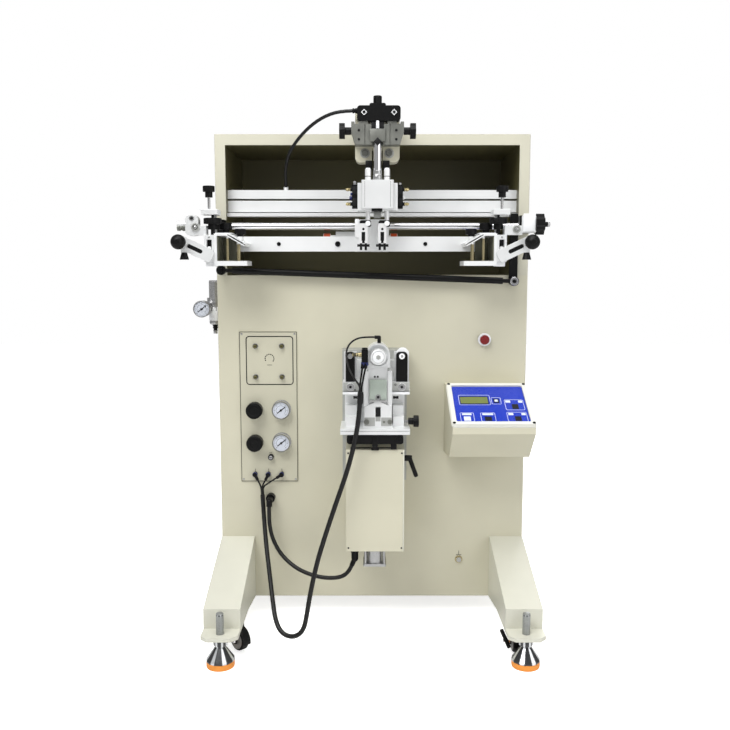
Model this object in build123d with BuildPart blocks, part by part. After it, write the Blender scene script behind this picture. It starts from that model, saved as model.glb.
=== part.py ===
from build123d import *
from math import cos, pi, radians, sin, sqrt, tan
import os

# Pneumatic screen printing machine for cylindrical ware, on four levelling feet.
# X runs to the right, Y to the rear, Z up. The origin is on the floor below the
# middle of the cabinet. "Out" is a distance in front of the cabinet's front plate.

# Housing
cabinet_width = 722
cabinet_depth = 310
cabinet_bottom = 43
cabinet_seam = 816
cabinet_top = 1136
cabinet_edge_radius = 3
window_border = 24.5
hood_cavity_depth = 272
rear_cover_margin = 45
rear_cover_thickness = 2
rear_cover_corner = 12

# Legs and levelling feet
leg_width = 79
leg_top = 192
leg_reach = 247
leg_nose_top = 113
foot_plate_reach = 297
foot_plate_thickness = 8
foot_plate_bottom = 62
foot_plate_chamfer = 14
leg_flat_start = 130
stud_out = 272
stud_radius = 8
stud_clearance = 0.3
stud_top = 115
stud_chamfer = 2
foot_pad_height = 13
foot_pad_radius = 29
foot_cone_radius = 30
foot_neck_radius = 12
foot_cone_top = 42
foot_rim_height = 3
foot_facets = 14
foot_collar_radius = 10
foot_neck_height = 4
foot_nut_flats = 26

# Casters
caster_out = 183
caster_inset = 10
caster_trail = 28
caster_wheel_radius = 24
caster_wheel_width = 18
caster_floor_gap = 3
caster_axle_radius = 3
caster_plate_size = 44
caster_plate_thickness = 3
caster_plate_corner = 4
caster_crown_radius = 17.6
caster_race_gap = 0.3
caster_crown_thickness = 3
caster_cheek_thickness = 2.5
caster_cheek_gap = 1.5
caster_cheek_toe = 7
caster_cheek_heel = 4
caster_axle_end = 2
caster_tread_radius = 4
caster_angle_left = 45
caster_angle_right = 90
running_clearance = 0.1

# Print rails and guide shaft in the window
rail_out = -50
rail_depth = 20
upper_rail_bottom = 993.5
upper_rail_height = 20
lower_rail_bottom = 963
lower_rail_height = 26
flange_bottom = 952
flange_height = 8
flange_depth = 34
guide_shaft_radius = 8
guide_shaft_out = 22
guide_shaft_height = 927
shaft_support_depth = 35
shaft_support_height = 30

# Rocker arm and tie rod
rocker_x = 325.5
rocker_width = 19
rocker_bottom_drop = 133
rocker_top_rise = 30
rocker_out = 2
rocker_thickness = 8
rocker_corner = 6
rocker_spacer_drop = 3
rocker_spacer_width = 15
tie_rod_radius = 7.5
tie_rod_out = 20
tie_rod_left_x = -347
tie_rod_left_drop = 99
tie_rod_right_drop = 124
rod_eye_radius = 11
rod_eye_thickness = 10
rod_eye_bolt_head = 4
rod_shank_length = 26
rod_shank_radius = 4.5

# Squeegee head
head_x = 10
head_arm_width = 97
head_arm_bottom = 1062
head_arm_thickness = 32
head_arm_out = 50
head_arm_front = 85
head_arm_rear_y = 95
head_arm_corner = 12
head_arm_slot_width = 24
head_arm_slot_height = 30
slide_width = 113
slide_bottom = 1096
slide_top = 1139
slide_front = 118
slide_shoulder = 16
slide_taper = 8.5
slide_ear_width = 7
slide_ear_height = 5
slide_groove_width = 3
slide_groove_depth = 2
slide_groove_offset = 27
slide_channel_width = 23
slide_channel_depth = 19
spacer_radius = 10
spacer_offset = 31
head_axis_out = 110
knob_axis_out = 102
column_radius = 9
sensor_plate_width = 93
sensor_plate_shift = 2.5
sensor_plate_bottom = 1145
sensor_plate_height = 32
sensor_plate_thickness = 24
sensor_plate_corner = 7
sensor_hump_width = 35
sensor_hump_height = 5
side_knob_height = 1126.5
side_knob_radius = 17.5
side_knob_lobe_radius = 5
side_knob_lobes = 6
side_knob_thickness = 12
side_hub_radius = 8
side_hub_length = 14
top_knob_radius = 9
top_knob_height = 16
top_knob_chamfer = 2

# Squeegee cylinder block and holders
block_width = 69
block_bottom = 960
block_top = 1020
block_depth = 56
block_edge = 2
side_plate_thickness = 8.5
side_plate_height = 58
side_plate_drop = 5
side_plate_depth = 40
base_plate_width = 59
base_plate_height = 4
base_plate_depth = 32
valve_width = 12
valve_height = 50
valve_depth = 26
valve_drop = 3
barb_radius = 2.5
barb_collar_radius = 4
barb_collar_length = 4
barb_length = 13
barb_spacing = 31
guide_rod_radius = 5
guide_rod_spacing = 41
rod_cap_radius = 6.5
rod_cap_height = 25
rod_seat_gap = 0.3
holder_top = 936
holder_clamp_height = 14
holder_clamp_width = 25
holder_clamp_shift = 5.5
holder_corner = 4
fork_offset = 10
fork_width = 18.5
fork_height = 42
fork_slot_width = 8
fork_slot_height = 24
fork_pin_radius = 2
fork_pin_rise = 6
fork_thickness = 16
fork_lug_width = 9
fork_lug_height = 30
fork_screw_radius = 6
fork_screw_head = 3
jaw_rod_radius = 2.8
jaw_rod_length = 27
jaw_width = 5
jaw_height = 20
jaw_spacing = 10.5

# Screen carriage, heights from the guide shaft
carriage_x = -37.5
bar_length = 560
bar_drop = 57
bar_height = 33
bar_out = 40
bar_thickness = 20
bearing_length = 77
bearing_rise = 15
bearing_out = 8
bearing_offset = 36
rear_plate_left = 44
rear_plate_height = 22
rear_plate_thickness = 5
rear_plate_drop = 22
buffer_radius = 6.5
buffer_length = 16
buffer_left_reach = 12
buffer_right_reach = 4
buffer_stud_radius = 3

# Screen clamps, as distances outward from the carriage's middle
channel_wall_offset = 304.5
channel_wall_thickness = 6
channel_reach = 35
channel_height = 64
channel_drop = 27
channel_depth = 75
flange_thickness = 5
lower_plate_reach = 71
lower_plate_thickness = 5
jaw_plate_length = 44
jaw_plate_thickness = 8
jaw_plate_slot = 2.5
jaw_groove_share = 0.7
jaw_plate_offset = 256.5
jaw_plate_drop = 13
jaw_plate_tilt = 30
web_thickness = 4
outer_post_radius = 2.5
outer_post_offset = 276.5
inner_post_radius = 3.5
inner_post_offset = 252.5
post_inset = 8
frame_box_width = 21
frame_box_height = 58
frame_box_depth = 45
frame_box_window_width = 11
frame_box_window_height = 38
frame_box_window_depth = 14
frame_boss_radius = 4.5
arm_offset = 345
arm_drop = 1
arm_length = 84
arm_tall = 28
arm_tilt = 25
arm_thickness = 8
arm_corner = 8
arm_slot_length = 36
arm_slot_width = 9
arm_lug_offset = 368
arm_lug_width = 13
arm_lug_height = 12
arm_lug_rise = -2
shaft_bracket_offset = 352
shaft_bracket_width = 28
shaft_bracket_height = 44
shaft_bracket_depth = 25
shaft_bracket_drop = 3
shaft_bracket_corner = 10
shaft_bracket_hole = 2.5
shaft_bracket_hole_rise = 12
clamp_axis_out = 120
clamp_shaft_radius = 7
clamp_shaft_length = 19
carrier_offset = 340
carrier_width = 38
carrier_height = 20
right_plate_offset = 373
right_plate_width = 31
right_plate_height = 37
right_plate_corner = 3
top_block_offset = 314
top_block_width = 35
top_block_height = 11
top_block_rise = 40
top_post_width = 8
top_post_offset = 309

# Hand knobs of the clamps
stud_rod_radius = 2.8
top_head_radius = 12.5
top_head_height = 12
top_neck_radius = 8
top_neck_height = 12
top_stud_length = 27
top_knob_offset = 317.5
top_knob_out = 112
nut_radius = 19
nut_height = 12
nut_hub_radius = 10
nut_hub_height = 12
nut_foot_radius = 4.4
nut_foot_height = 12
nut_offset = 309
outer_knob_offset = 286
outer_knob_out = 92
outer_knob_radius = 14
outer_knob_height = 14
outer_knob_neck = 10
inner_knob_offset = 251
inner_knob_out = 112
inner_knob_radius = 12
inner_knob_height = 11
inner_knob_neck = 5
knob_pad_radius = 7
knob_pad_rise = 7
knob_neck_radius = 8
ball_offset = 375
ball_radius = 16
ball_neck_radius = 6
ball_neck_length = 10
ball_center_reach = 22
lug_knob_top_radius = 6
lug_knob_radius = 10
lug_knob_height = 15
star_radius = 23
star_lobe_radius = 6
star_lobes = 7
star_thickness = 18
star_tip_radius = 5.5
star_tip_length = 9

# Product nest
nest_x = 5
guide_plate_width = 147
guide_plate_bottom = 346
guide_plate_top = 648
guide_plate_depth = 60
column_cover_width = 129
column_cover_bottom = 206
column_cover_top = 437
column_cover_out = 150
lift_cylinder_radius = 22
lift_cylinder_bottom = 164
lift_cylinder_out = 105
lift_flange_height = 6
tie_bolt_radius = 3
tie_bolt_offset = 21
lift_body_size = 52
nest_slide_gap = 0.3
nest_back_thickness = 20
nest_back_bottom = 474
nest_back_top = 628
nest_back_width = 135
table_width = 152
table_bottom = 472
table_thickness = 13
table_out = 160
chuck_x = 11.5
chuck_height = 644
chuck_radius = 16.5
chuck_out = 150
chuck_length = 30
chuck_rim = 3.5
chuck_recess = 1.5
chuck_edge = 2
chuck_groove_width = 1
spindle_inset = 10
housing_radius = 26
housing_out = 90
housing_depth = 55
housing_shell = 3
housing_ring_depth = 8
housing_hub_radius = 14
spindle_radius = 7
centre_width = 41.5
centre_out = 140
side_strip_width = 10
side_strip_out = 144
side_strip_top = 610
cross_bar_height = 573
cross_bar_thickness = 22
cross_bar_width = 147
cross_bar_out = 128
cross_bar_shift = 4
cross_lip_height = 5
cross_lip_reach = 4
boss_radius = 9
boss_bore = 3
boss_proud = 3
boss_inset = 17
trapezoid_top = 532
trapezoid_half_top = 28
trapezoid_half_bottom = 32.5
trapezoid_neck = 6
trapezoid_neck_height = 11
trapezoid_out = 150
trapezoid_slot_width = 11
trapezoid_slot_bottom = 500
side_block_width = 24
side_block_height = 22
side_block_offset = 52
side_step_height = 22
side_step_out = 110
side_block_out = 132
left_arm_x = -49.5
left_arm_width = 20
right_arm_x = 64
right_arm_width = 25
arm_height_above_bar = 66
arm_backing_margin = 4
arm_backing_thickness = 8
arm_bar_thickness = 14
arm_bolt_radius = 5.5
arm_bolt_head = 3
arm_bolt_drop = 9
arm_top_radius = 8
nest_knob_height = 495
nest_knob_out = 120
nest_knob_stud_radius = 3
nest_knob_stud_length = 10
nest_knob_body_radius = 7.7
nest_knob_body_length = 12
nest_knob_head_radius = 12.8
nest_knob_head_length = 11
guard_width = 124
guard_height = 20.4
guard_corner = 6
guard_gap = 1.2
guard_stem_width = 60
guard_depth = 16
guard_inset = 4
guard_drop_width = 12
guard_drop_height = 8
fitting_body_width = 14
fitting_body_depth = 26
fitting_body_top = 660
fitting_body_bottom = 632
fitting_body_x = -17.5
fitting_body_corner = 3
fitting_port_reach = 20
port_radius = 3.6
port_spacing = 7.6
port_length = 14
brass_radius = 4
brass_length = 18
brass_height = 648
brass_elbow_length = 10
elbow_seat_gap = 0.3

# Controls
pneumatic_panel_x = -244
pneumatic_panel_width = 136
pneumatic_panel_bottom = 327
pneumatic_panel_top = 686
pneumatic_panel_thickness = 2
knob_column_x = -276
gauge_column_x = -214
upper_row_height = 502
lower_row_height = 424
regulator_knob_radius = 19
regulator_knob_length = 30
regulator_base_radius = 14
regulator_base_length = 8
regulator_knob_chamfer = 2
gauge_radius = 21
gauge_depth = 20
gauge_rim = 2.5
gauge_recess = 2
fitting_height = 346.5
fitting_spacing = 31.5
fitting_x = -246.5
fitting_radius = 5
fitting_length = 15
fitting_outlet_radius = 3.6
fitting_outlet_length = 9
needle_valve_radius = 5
needle_valve_length = 7
needle_valve_left = -274
needle_valve_right = -212
needle_valve_top = 651.5
needle_valve_bottom = 579
switch_x = -240
switch_height = 388
switch_radius = 6.5
switch_length = 12
console_x = 259
console_width = 182
console_base_height = 401
console_back_height = 564.4
console_top_out = 52
console_front_out = 196
console_lip_height = 494.4
console_nose_height = 14
console_under_out = 130
console_under_rise = 15
console_side_inset = 2
lid_lip_thickness = 4
lid_frame_thickness = 9
lid_frame_inset = 1.5
lid_corner = 8
lid_border = 11
lid_recess = 5
lid_window_corner = 4
membrane_gap = 0.3
membrane_thickness = 1
button_x = 262
button_height = 667
button_radius = 11
button_bezel_radius = 15
button_bezel_depth = 6
button_length = 12
button_travel = 3
button_gap = 0.3
button_edge = 1.5
button_bezel_floor = 1
grommet_radius = 10.5
grommet_depth = 18
grommet_outlet_radius = 7
grommet_outlet_length = 12
rail_port_radius = 5.5
rail_port_length = 10
connector_nut_radius = 9
connector_nut_height = 12
connector_nut_drop = 4
connector_reach = 18
connector_top_radius = 8
connector_bottom_radius = 5.6
lever_height = 409
lever_hub_radius = 6
lever_hub_length = 16
lever_out = 110
lever_arm_length = 42
lever_arm_width = 9
lever_arm_inset = 6
lever_arm_corner = 4
lever_gap = 0.3

# Filter regulator on the left wall
regulator_y = -35
regulator_x = -388
regulator_radius = 14
regulator_bottom = 694
regulator_collar_bottom = 748
regulator_collar_radius = 19
regulator_collar_height = 12
regulator_cap_width = 24
regulator_cap_top = 803
regulator_cap_chamfer = 3
regulator_bowl_edge = 5
regulator_arm_depth = 16
side_gauge_x = -414
side_gauge_height = 734
side_gauge_radius = 20
side_gauge_depth = 24
side_gauge_stem = 12

# Hoses
main_hose_diameter = 10.5
column_hose_diameter = 9.5
head_hose_diameter = 7.5
tube_diameter = 4
arc_share = 0.45
bundle_step = 2.05
bundle_lead = 18

half_width = cabinet_width / 2
half_depth = cabinet_depth / 2
window_half = half_width - window_border
window_top = cabinet_top - window_border
seated = (Align.CENTER, Align.CENTER, Align.MIN)


def front_plane(out):
    """Plane parallel to the cabinet's front plate, a distance in front of it."""
    return Plane.XZ.offset(half_depth + out)


def y_at(out):
    """Y coordinate of a point that lies a distance in front of the front plate."""
    return -half_depth - out


def facing(x, z, out):
    """Place on such a plane, with its own z axis pointing forward."""
    return front_plane(out).location * Location((x, z, 0))


def save(part, name):
    """Label a finished piece and write its STEP file."""
    part.label = name
    export_step(part, f"parts/{name}.step")


os.makedirs("parts", exist_ok=True)

# Base cabinet: the closed lower housing
with BuildPart() as base_cabinet:
    with BuildSketch(Plane.XY.offset(cabinet_bottom)):
        RectangleRounded(cabinet_width, cabinet_depth, cabinet_edge_radius)
    extrude(amount=cabinet_seam - cabinet_bottom)
save(base_cabinet.part, "base_cabinet")

# Hood: the upper housing with its print window, open to the front
with BuildPart() as hood:
    with BuildSketch(Plane.XY.offset(cabinet_seam)):
        RectangleRounded(cabinet_width, cabinet_depth, cabinet_edge_radius)
    extrude(amount=cabinet_top - cabinet_seam)
    with BuildSketch(front_plane(0)):
        with Locations((0, (cabinet_seam + window_top) / 2)):
            Rectangle(2 * window_half, window_top - cabinet_seam)
    extrude(amount=-hood_cavity_depth, mode=Mode.SUBTRACT)
save(hood.part, "hood")

# Plain sheet cover on the back
with BuildPart() as rear_cover:
    cover_bottom = leg_top + rear_cover_margin / 2
    cover_top = cabinet_seam - rear_cover_margin
    with BuildSketch(Plane.XZ.offset(-half_depth)):
        with Locations((0, (cover_bottom + cover_top) / 2)):
            RectangleRounded(
                cabinet_width - 2 * rear_cover_margin,
                cover_top - cover_bottom,
                rear_cover_corner,
            )
    extrude(amount=-rear_cover_thickness)
save(rear_cover.part, "rear_cover")

# Legs: sloped welded boxes, each with a foot plate for its levelling stud
leg_x = half_width - leg_width / 2
with BuildPart() as legs:
    with BuildSketch(Plane.YZ.offset(leg_x - leg_width / 2)):
        with BuildLine():
            Polyline(
                (y_at(0), cabinet_bottom),
                (y_at(leg_flat_start), foot_plate_bottom),
                (y_at(foot_plate_reach), foot_plate_bottom),
                (y_at(foot_plate_reach), foot_plate_bottom + foot_plate_thickness),
                (y_at(leg_reach), foot_plate_bottom + foot_plate_thickness),
                (y_at(leg_reach), leg_nose_top),
                (y_at(0), leg_top),
                close=True,
            )
        make_face()
    extrude(amount=leg_width)
    chamfer(
        legs.edges().filter_by(Axis.Z).group_by(Axis.Y)[0],
        length=foot_plate_chamfer,
    )
    with Locations((leg_x, y_at(stud_out), foot_plate_bottom)):
        Cylinder(
            stud_radius + stud_clearance,
            4 * foot_plate_thickness,
            mode=Mode.SUBTRACT,
        )
    mirror(about=Plane.YZ)
    mirror(about=Plane.XZ)
save(legs.part, "legs")

# Levelling feet: threaded stud, nut and faceted chrome base in one piece
foot_rim_top = foot_pad_height + foot_rim_height
foot_neck_top = foot_cone_top + foot_neck_height
with BuildPart() as foot:
    with BuildSketch(Plane.XY.offset(foot_pad_height)):
        RegularPolygon(foot_cone_radius, foot_facets)
    extrude(amount=foot_rim_height)
    with BuildSketch(Plane.XY.offset(foot_rim_top)):
        RegularPolygon(foot_cone_radius, foot_facets)
    with BuildSketch(Plane.XY.offset(foot_cone_top)):
        RegularPolygon(foot_neck_radius, foot_facets)
    loft()
    with BuildSketch(Plane.XY.offset(foot_cone_top)):
        Circle(foot_collar_radius)
    extrude(amount=foot_neck_height)
    with BuildSketch(Plane.XY.offset(foot_neck_top)):
        RegularPolygon(foot_nut_flats / 2, 6, major_radius=False)
    extrude(amount=foot_plate_bottom - foot_neck_top)
    with BuildSketch(Plane.XY.offset(foot_plate_bottom)):
        Circle(stud_radius)
    extrude(amount=stud_top - foot_plate_bottom)
    chamfer(
        foot.edges().filter_by(GeomType.CIRCLE).group_by(Axis.Z)[-1],
        length=stud_chamfer,
    )
stud_places = [
    Location((side * leg_x, end * y_at(stud_out), 0)) for side in (-1, 1) for end in (-1, 1)
]
with BuildPart() as levelling_feet:
    for place in stud_places:
        add(foot.part.moved(place))
save(levelling_feet.part, "levelling_feet")

with BuildPart() as foot_pads:
    with Locations(*stud_places):
        Cylinder(foot_pad_radius, foot_pad_height, align=seated)
save(foot_pads.part, "foot_pads")

# Casters: top plate, turning fork with its cheeks and axle, and wheel
caster_x = leg_x - caster_inset
wheel_height = caster_floor_gap + caster_wheel_radius
plate_bottom = foot_plate_bottom - caster_plate_thickness
crown_top = plate_bottom - caster_race_gap
crown_bottom = crown_top - caster_crown_thickness
cheek_inside = caster_wheel_width / 2 + caster_cheek_gap
cheek_outside = cheek_inside + caster_cheek_thickness
caster_y = y_at(caster_out)

with BuildPart() as caster_plates:
    for side in (-1, 1):
        for end in (-1, 1):
            with BuildSketch(Plane.XY.offset(plate_bottom)):
                with Locations((side * caster_x, end * caster_y)):
                    RectangleRounded(caster_plate_size, caster_plate_size, caster_plate_corner)
            extrude(amount=caster_plate_thickness)
save(caster_plates.part, "caster_plates")


def caster_frame(side, end, angle):
    """Plane at wheel height under the swivel, with local x along the trail."""
    direction = (side * -cos(radians(angle)), -end * sin(radians(angle)), 0)
    return Plane(
        origin=(side * caster_x, end * caster_y, wheel_height), x_dir=direction, z_dir=(0, 0, 1)
    )


def build_fork(frame, wheel_fused):
    """Crown, two cheeks and the axle of one caster; rear ones carry their wheel in one piece."""
    side_plane = Plane(origin=frame.origin, x_dir=frame.x_dir, z_dir=-frame.y_dir)
    crown_drop = crown_bottom - wheel_height
    with BuildPart() as fork:
        with BuildSketch(Plane(frame.origin + Vector(0, 0, crown_drop), frame.x_dir)):
            Circle(caster_crown_radius)
            with Locations((caster_trail / 2, 0)):
                Rectangle(caster_trail, 2 * cheek_outside)
        extrude(amount=caster_crown_thickness)
        for inner in (cheek_inside, -cheek_outside):
            with BuildSketch(side_plane.offset(inner)):
                with BuildLine():
                    Polyline(
                        (-caster_cheek_heel, crown_drop),
                        (caster_trail, crown_drop),
                        (caster_trail + caster_cheek_toe, 0),
                        (caster_trail + caster_cheek_heel, -caster_cheek_toe),
                        (caster_trail - caster_cheek_toe, -caster_cheek_toe),
                        close=True,
                    )
                make_face()
            extrude(amount=caster_cheek_thickness)
        with BuildSketch(side_plane.offset(-cheek_outside - caster_axle_end)):
            with Locations((caster_trail, 0)):
                Circle(caster_axle_radius)
        extrude(amount=2 * (cheek_outside + caster_axle_end))
        if wheel_fused:
            with BuildSketch(side_plane.offset(-caster_wheel_width / 2)):
                with Locations((caster_trail, 0)):
                    Circle(caster_wheel_radius)
            extrude(amount=caster_wheel_width)
    return fork.part


def build_wheel(frame):
    """One caster wheel with a rounded tread, bored for its axle."""
    side_plane = Plane(origin=frame.origin, x_dir=frame.x_dir, z_dir=-frame.y_dir)
    with BuildPart() as wheel:
        with BuildSketch(side_plane.offset(-caster_wheel_width / 2)):
            with Locations((caster_trail, 0)):
                Circle(caster_wheel_radius)
                Circle(caster_axle_radius + running_clearance, mode=Mode.SUBTRACT)
        extrude(amount=caster_wheel_width)
        rim = wheel.edges().filter_by(GeomType.CIRCLE).group_by(SortBy.RADIUS)[-1]
        fillet(rim, radius=caster_tread_radius)
    return wheel.part


left_frame = caster_frame(-1, 1, caster_angle_left)
right_frame = caster_frame(1, 1, caster_angle_right)
save(build_fork(left_frame, False), "caster_fork_left")
save(build_wheel(left_frame), "caster_wheel_left")
save(build_fork(right_frame, False), "caster_fork_right")
save(build_wheel(right_frame), "caster_wheel_right")
with BuildPart() as rear_casters:
    add(build_fork(caster_frame(-1, -1, caster_angle_right), True))
    add(build_fork(caster_frame(1, -1, caster_angle_right), True))
save(rear_casters.part, "rear_casters")

# Hose routes as (x, out, z), from the end at the front plate or the head
main_hose_points = [
    (-260, 18.4, 300),
    (-257, 26, 262),
    (-249, 56, 196),
    (-236, 98, 132),
    (-226, 132, 84),
    (-218, 158, 52),
    (-205, 176, 31),
    (-184, 188, 24),
    (-163, 195, 31),
    (-150, 199, 50),
    (-144, 202, 82),
    (-136, 204, 130),
    (-122, 203, 196),
    (-102, 198, 262),
    (-79, 192, 330),
    (-55, 186, 398),
    (-37, 181, 468),
    (-29, 177, 524),
    (-27, 176, 562),
]
column_hose_points = [
    (-47, 110, 160),
    (-54, 110, 143),
    (-74, 109, 130),
    (-107, 102, 126),
    (-145, 90, 130),
    (-182, 73, 142),
    (-214, 56, 166),
    (-235, 44, 200),
    (-242, 40, 234),
    (-242.5, 40, 258),
    (-242, 40, 277),
]
head_hose_points = [
    (-34, 108, 1168),
    (-58, 108, 1168),
    (-92, 98, 1164),
    (-128, 76, 1149),
    (-161, 50, 1124),
    (-187, 18, 1096),
    (-199, -12, 1070),
    (-202, -31, 1046),
    (-202, -40, 1021.5),
]
loop_points = [
    (4, 130, 683),
    (-14, 131, 683.5),
    (-34, 134, 681),
    (-50, 140, 671),
    (-58, 149, 655),
    (-57, 158, 636),
    (-51, 168, 616),
    (-40, 180, 598),
]


def route_of(points):
    """Points of a route as vectors in the machine's frame."""
    return [Vector(x, y_at(out), z) for x, out, z in points]


def run_direction(route, first, last):
    """Unit vector from one point of a route to another."""
    return (route[last] - route[first]).normalized()


def build_tube(route, diameter):
    """Hose along straight runs joined by arcs as large as its runs allow."""
    radii = []
    for before, corner, after in zip(route, route[1:], route[2:]):
        turn = (corner - before).get_angle(after - corner)
        shorter = min((corner - before).length, (after - corner).length)
        radii.append(arc_share * shorter / tan(radians(turn) / 2))
    with BuildPart() as tube:
        with BuildLine() as path:
            FilletPolyline(*route, radius=radii)
        with BuildSketch(Plane(path.wire() @ 0, z_dir=path.wire() % 0)):
            Circle(diameter / 2)
        sweep()
    length = path.wire().length
    swept = pi * (diameter / 2) ** 2 * length
    print("radii", [round(radius) for radius in radii], "length", round(length))
    print("volume over section times length", round(tube.part.volume / swept, 4))
    return tube.part


def build_stub(start, direction, radius, length):
    """Round stub of a fitting, aimed along a direction."""
    with BuildPart() as stub:
        with BuildSketch(Plane(start, z_dir=direction)):
            Circle(radius)
        extrude(amount=length)
    return stub.part


def bundle_seats(center, axis):
    """Three tube ends side by side on a hose's end face, with the corner before each."""
    sideways = (Vector(1, 0, 0) - axis * axis.X).normalized()
    forward = sideways.cross(axis)
    seats = []
    for step_side, step_out in ((-1, -0.6), (0, 1.2), (1, -0.6)):
        end = center + (sideways * step_side + forward * step_out) * bundle_step
        seats.append((end + axis * bundle_lead, end))
    return seats


main_route = route_of(main_hose_points)
column_route = route_of(column_hose_points)
head_route = route_of(head_hose_points)
save(build_tube(main_route, main_hose_diameter), "main_hose")
save(build_tube(column_route, column_hose_diameter), "column_hose")
save(build_tube(head_route, head_hose_diameter), "head_hose")

# Print rails: two aluminium beams and a flange across the window, with the hose's port
with BuildPart() as print_rails:
    for bottom, height, depth in (
        (upper_rail_bottom, upper_rail_height, rail_depth),
        (lower_rail_bottom, lower_rail_height, rail_depth),
        (flange_bottom, flange_height, flange_depth),
    ):
        with BuildSketch(front_plane(rail_out)):
            with Locations((0, bottom + height / 2)):
                Rectangle(2 * window_half, height)
        extrude(amount=depth)
    add(build_stub(head_route[-1], run_direction(head_route, -2, -1), rail_port_radius, rail_port_length))
save(print_rails.part, "print_rails")

with BuildPart() as guide_shaft:
    with BuildSketch(Plane.YZ.offset(-half_width)):
        with Locations((y_at(guide_shaft_out), guide_shaft_height)):
            Circle(guide_shaft_radius)
    extrude(amount=cabinet_width)
save(guide_shaft.part, "guide_shaft")

with BuildPart() as shaft_supports:
    for side in (-1, 1):
        with BuildSketch(front_plane(0)):
            with Locations((side * (half_width - window_border / 2), guide_shaft_height)):
                Rectangle(window_border, shaft_support_height)
        extrude(amount=shaft_support_depth)
    with BuildSketch(Plane.YZ.offset(-half_width)):
        with Locations((y_at(guide_shaft_out), guide_shaft_height)):
            Circle(guide_shaft_radius)
    extrude(amount=cabinet_width, mode=Mode.SUBTRACT)
save(shaft_supports.part, "shaft_supports")

# Rocker arm at the right of the window, on a spacer from the lower rail
rocker_bottom = guide_shaft_height - rocker_bottom_drop
rocker_top = guide_shaft_height + rocker_top_rise
with BuildPart() as rocker_arm:
    with BuildSketch(front_plane(rocker_out)):
        with Locations((rocker_x, (rocker_bottom + rocker_top) / 2)):
            RectangleRounded(rocker_width, rocker_top - rocker_bottom, rocker_corner)
    extrude(amount=rocker_thickness)
    spacer_start = rail_out + flange_depth
    with BuildSketch(front_plane(spacer_start)):
        with Locations((rocker_x, rocker_top - rocker_spacer_drop)):
            Rectangle(rocker_spacer_width, flange_height)
    extrude(amount=rocker_out - spacer_start)
save(rocker_arm.part, "rocker_arm")

# Tie rod: black tube with a chrome rod end bolted to the rocker arm
tie_rod_left_height = guide_shaft_height - tie_rod_left_drop
tie_rod_right_height = guide_shaft_height - tie_rod_right_drop
tie_vector = Vector(rocker_x - tie_rod_left_x, 0, tie_rod_right_height - tie_rod_left_height)
tie_frame = Plane(
    origin=(tie_rod_left_x, y_at(tie_rod_out), tie_rod_left_height),
    x_dir=(0, 1, 0),
    z_dir=tie_vector.normalized(),
)
with BuildPart() as tie_rod:
    with BuildSketch(tie_frame.offset(rod_shank_length)):
        Circle(tie_rod_radius)
    extrude(amount=tie_vector.length - 2 * rod_shank_length)
    with BuildSketch(tie_frame):
        Circle(rod_shank_radius)
    extrude(amount=tie_vector.length)
    for x, z, back in (
        (tie_rod_left_x, tie_rod_left_height, 0),
        (rocker_x, tie_rod_right_height, rocker_out + rocker_thickness),
    ):
        with Locations(facing(x, z, tie_rod_out - rod_eye_thickness / 2)):
            Cylinder(rod_eye_radius, rod_eye_thickness, align=seated)
        bolt_end = tie_rod_out + rod_eye_thickness / 2 + rod_eye_bolt_head
        with Locations(facing(x, z, back)):
            Cylinder(rod_shank_radius, bolt_end - back, align=seated)
save(tie_rod.part, "tie_rod")

# Head arm: cream casting over the hood that carries the squeegee head
with BuildPart() as head_arm:
    with BuildSketch(Plane.YZ.offset(head_x - head_arm_width / 2)):
        with BuildLine():
            Polyline(
                (y_at(head_arm_front), head_arm_bottom),
                (y_at(head_arm_out), head_arm_bottom),
                (y_at(head_arm_out), cabinet_top),
                (head_arm_rear_y, cabinet_top),
                (head_arm_rear_y, cabinet_top + head_arm_thickness),
                (y_at(head_arm_front), cabinet_top + head_arm_thickness),
                close=True,
            )
        make_face()
    extrude(amount=head_arm_width)
    fillet(
        head_arm.edges().filter_by(Axis.Y).group_by(Axis.Z)[0],
        radius=head_arm_corner,
    )
    with BuildSketch(front_plane(head_arm_front)):
        with Locations((head_x, head_arm_bottom + head_arm_slot_height / 2)):
            Rectangle(head_arm_slot_width, head_arm_slot_height)
    extrude(amount=head_arm_out - head_arm_front, mode=Mode.SUBTRACT)
save(head_arm.part, "head_arm")

# Slide block: cast dovetail slide with ears and a channel for the chrome column
slide_half = slide_width / 2
with BuildPart() as head_slide:
    with BuildSketch(front_plane(head_arm_front)):
        with BuildLine():
            Polyline(
                (head_x - slide_half, slide_top + slide_ear_height),
                (head_x - slide_half + slide_ear_width, slide_top + slide_ear_height),
                (head_x - slide_half + slide_ear_width, slide_top),
                (head_x + slide_half - slide_ear_width, slide_top),
                (head_x + slide_half - slide_ear_width, slide_top + slide_ear_height),
                (head_x + slide_half, slide_top + slide_ear_height),
                (head_x + slide_half, slide_top - slide_shoulder),
                (head_x + slide_half - slide_taper, slide_bottom),
                (head_x - slide_half + slide_taper, slide_bottom),
                (head_x - slide_half, slide_top - slide_shoulder),
                close=True,
            )
        make_face()
        for side in (-1, 1):
            with Locations((head_x + side * spacer_offset, (slide_top + sensor_plate_bottom) / 2)):
                Rectangle(2 * spacer_radius, sensor_plate_bottom - slide_top)
    extrude(amount=slide_front - head_arm_front)
    with BuildSketch(front_plane(slide_front)):
        with Locations((head_x, (slide_bottom + slide_top) / 2)):
            Rectangle(slide_channel_width, 2 * slide_width)
    extrude(amount=-slide_channel_depth, mode=Mode.SUBTRACT)
    with BuildSketch(front_plane(slide_front)):
        for side in (-1, 1):
            with Locations((head_x + side * slide_groove_offset, slide_bottom)):
                Rectangle(slide_groove_width, 2 * (slide_top - slide_bottom))
    extrude(amount=-slide_groove_depth, mode=Mode.SUBTRACT)
save(head_slide.part, "head_slide")

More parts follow.
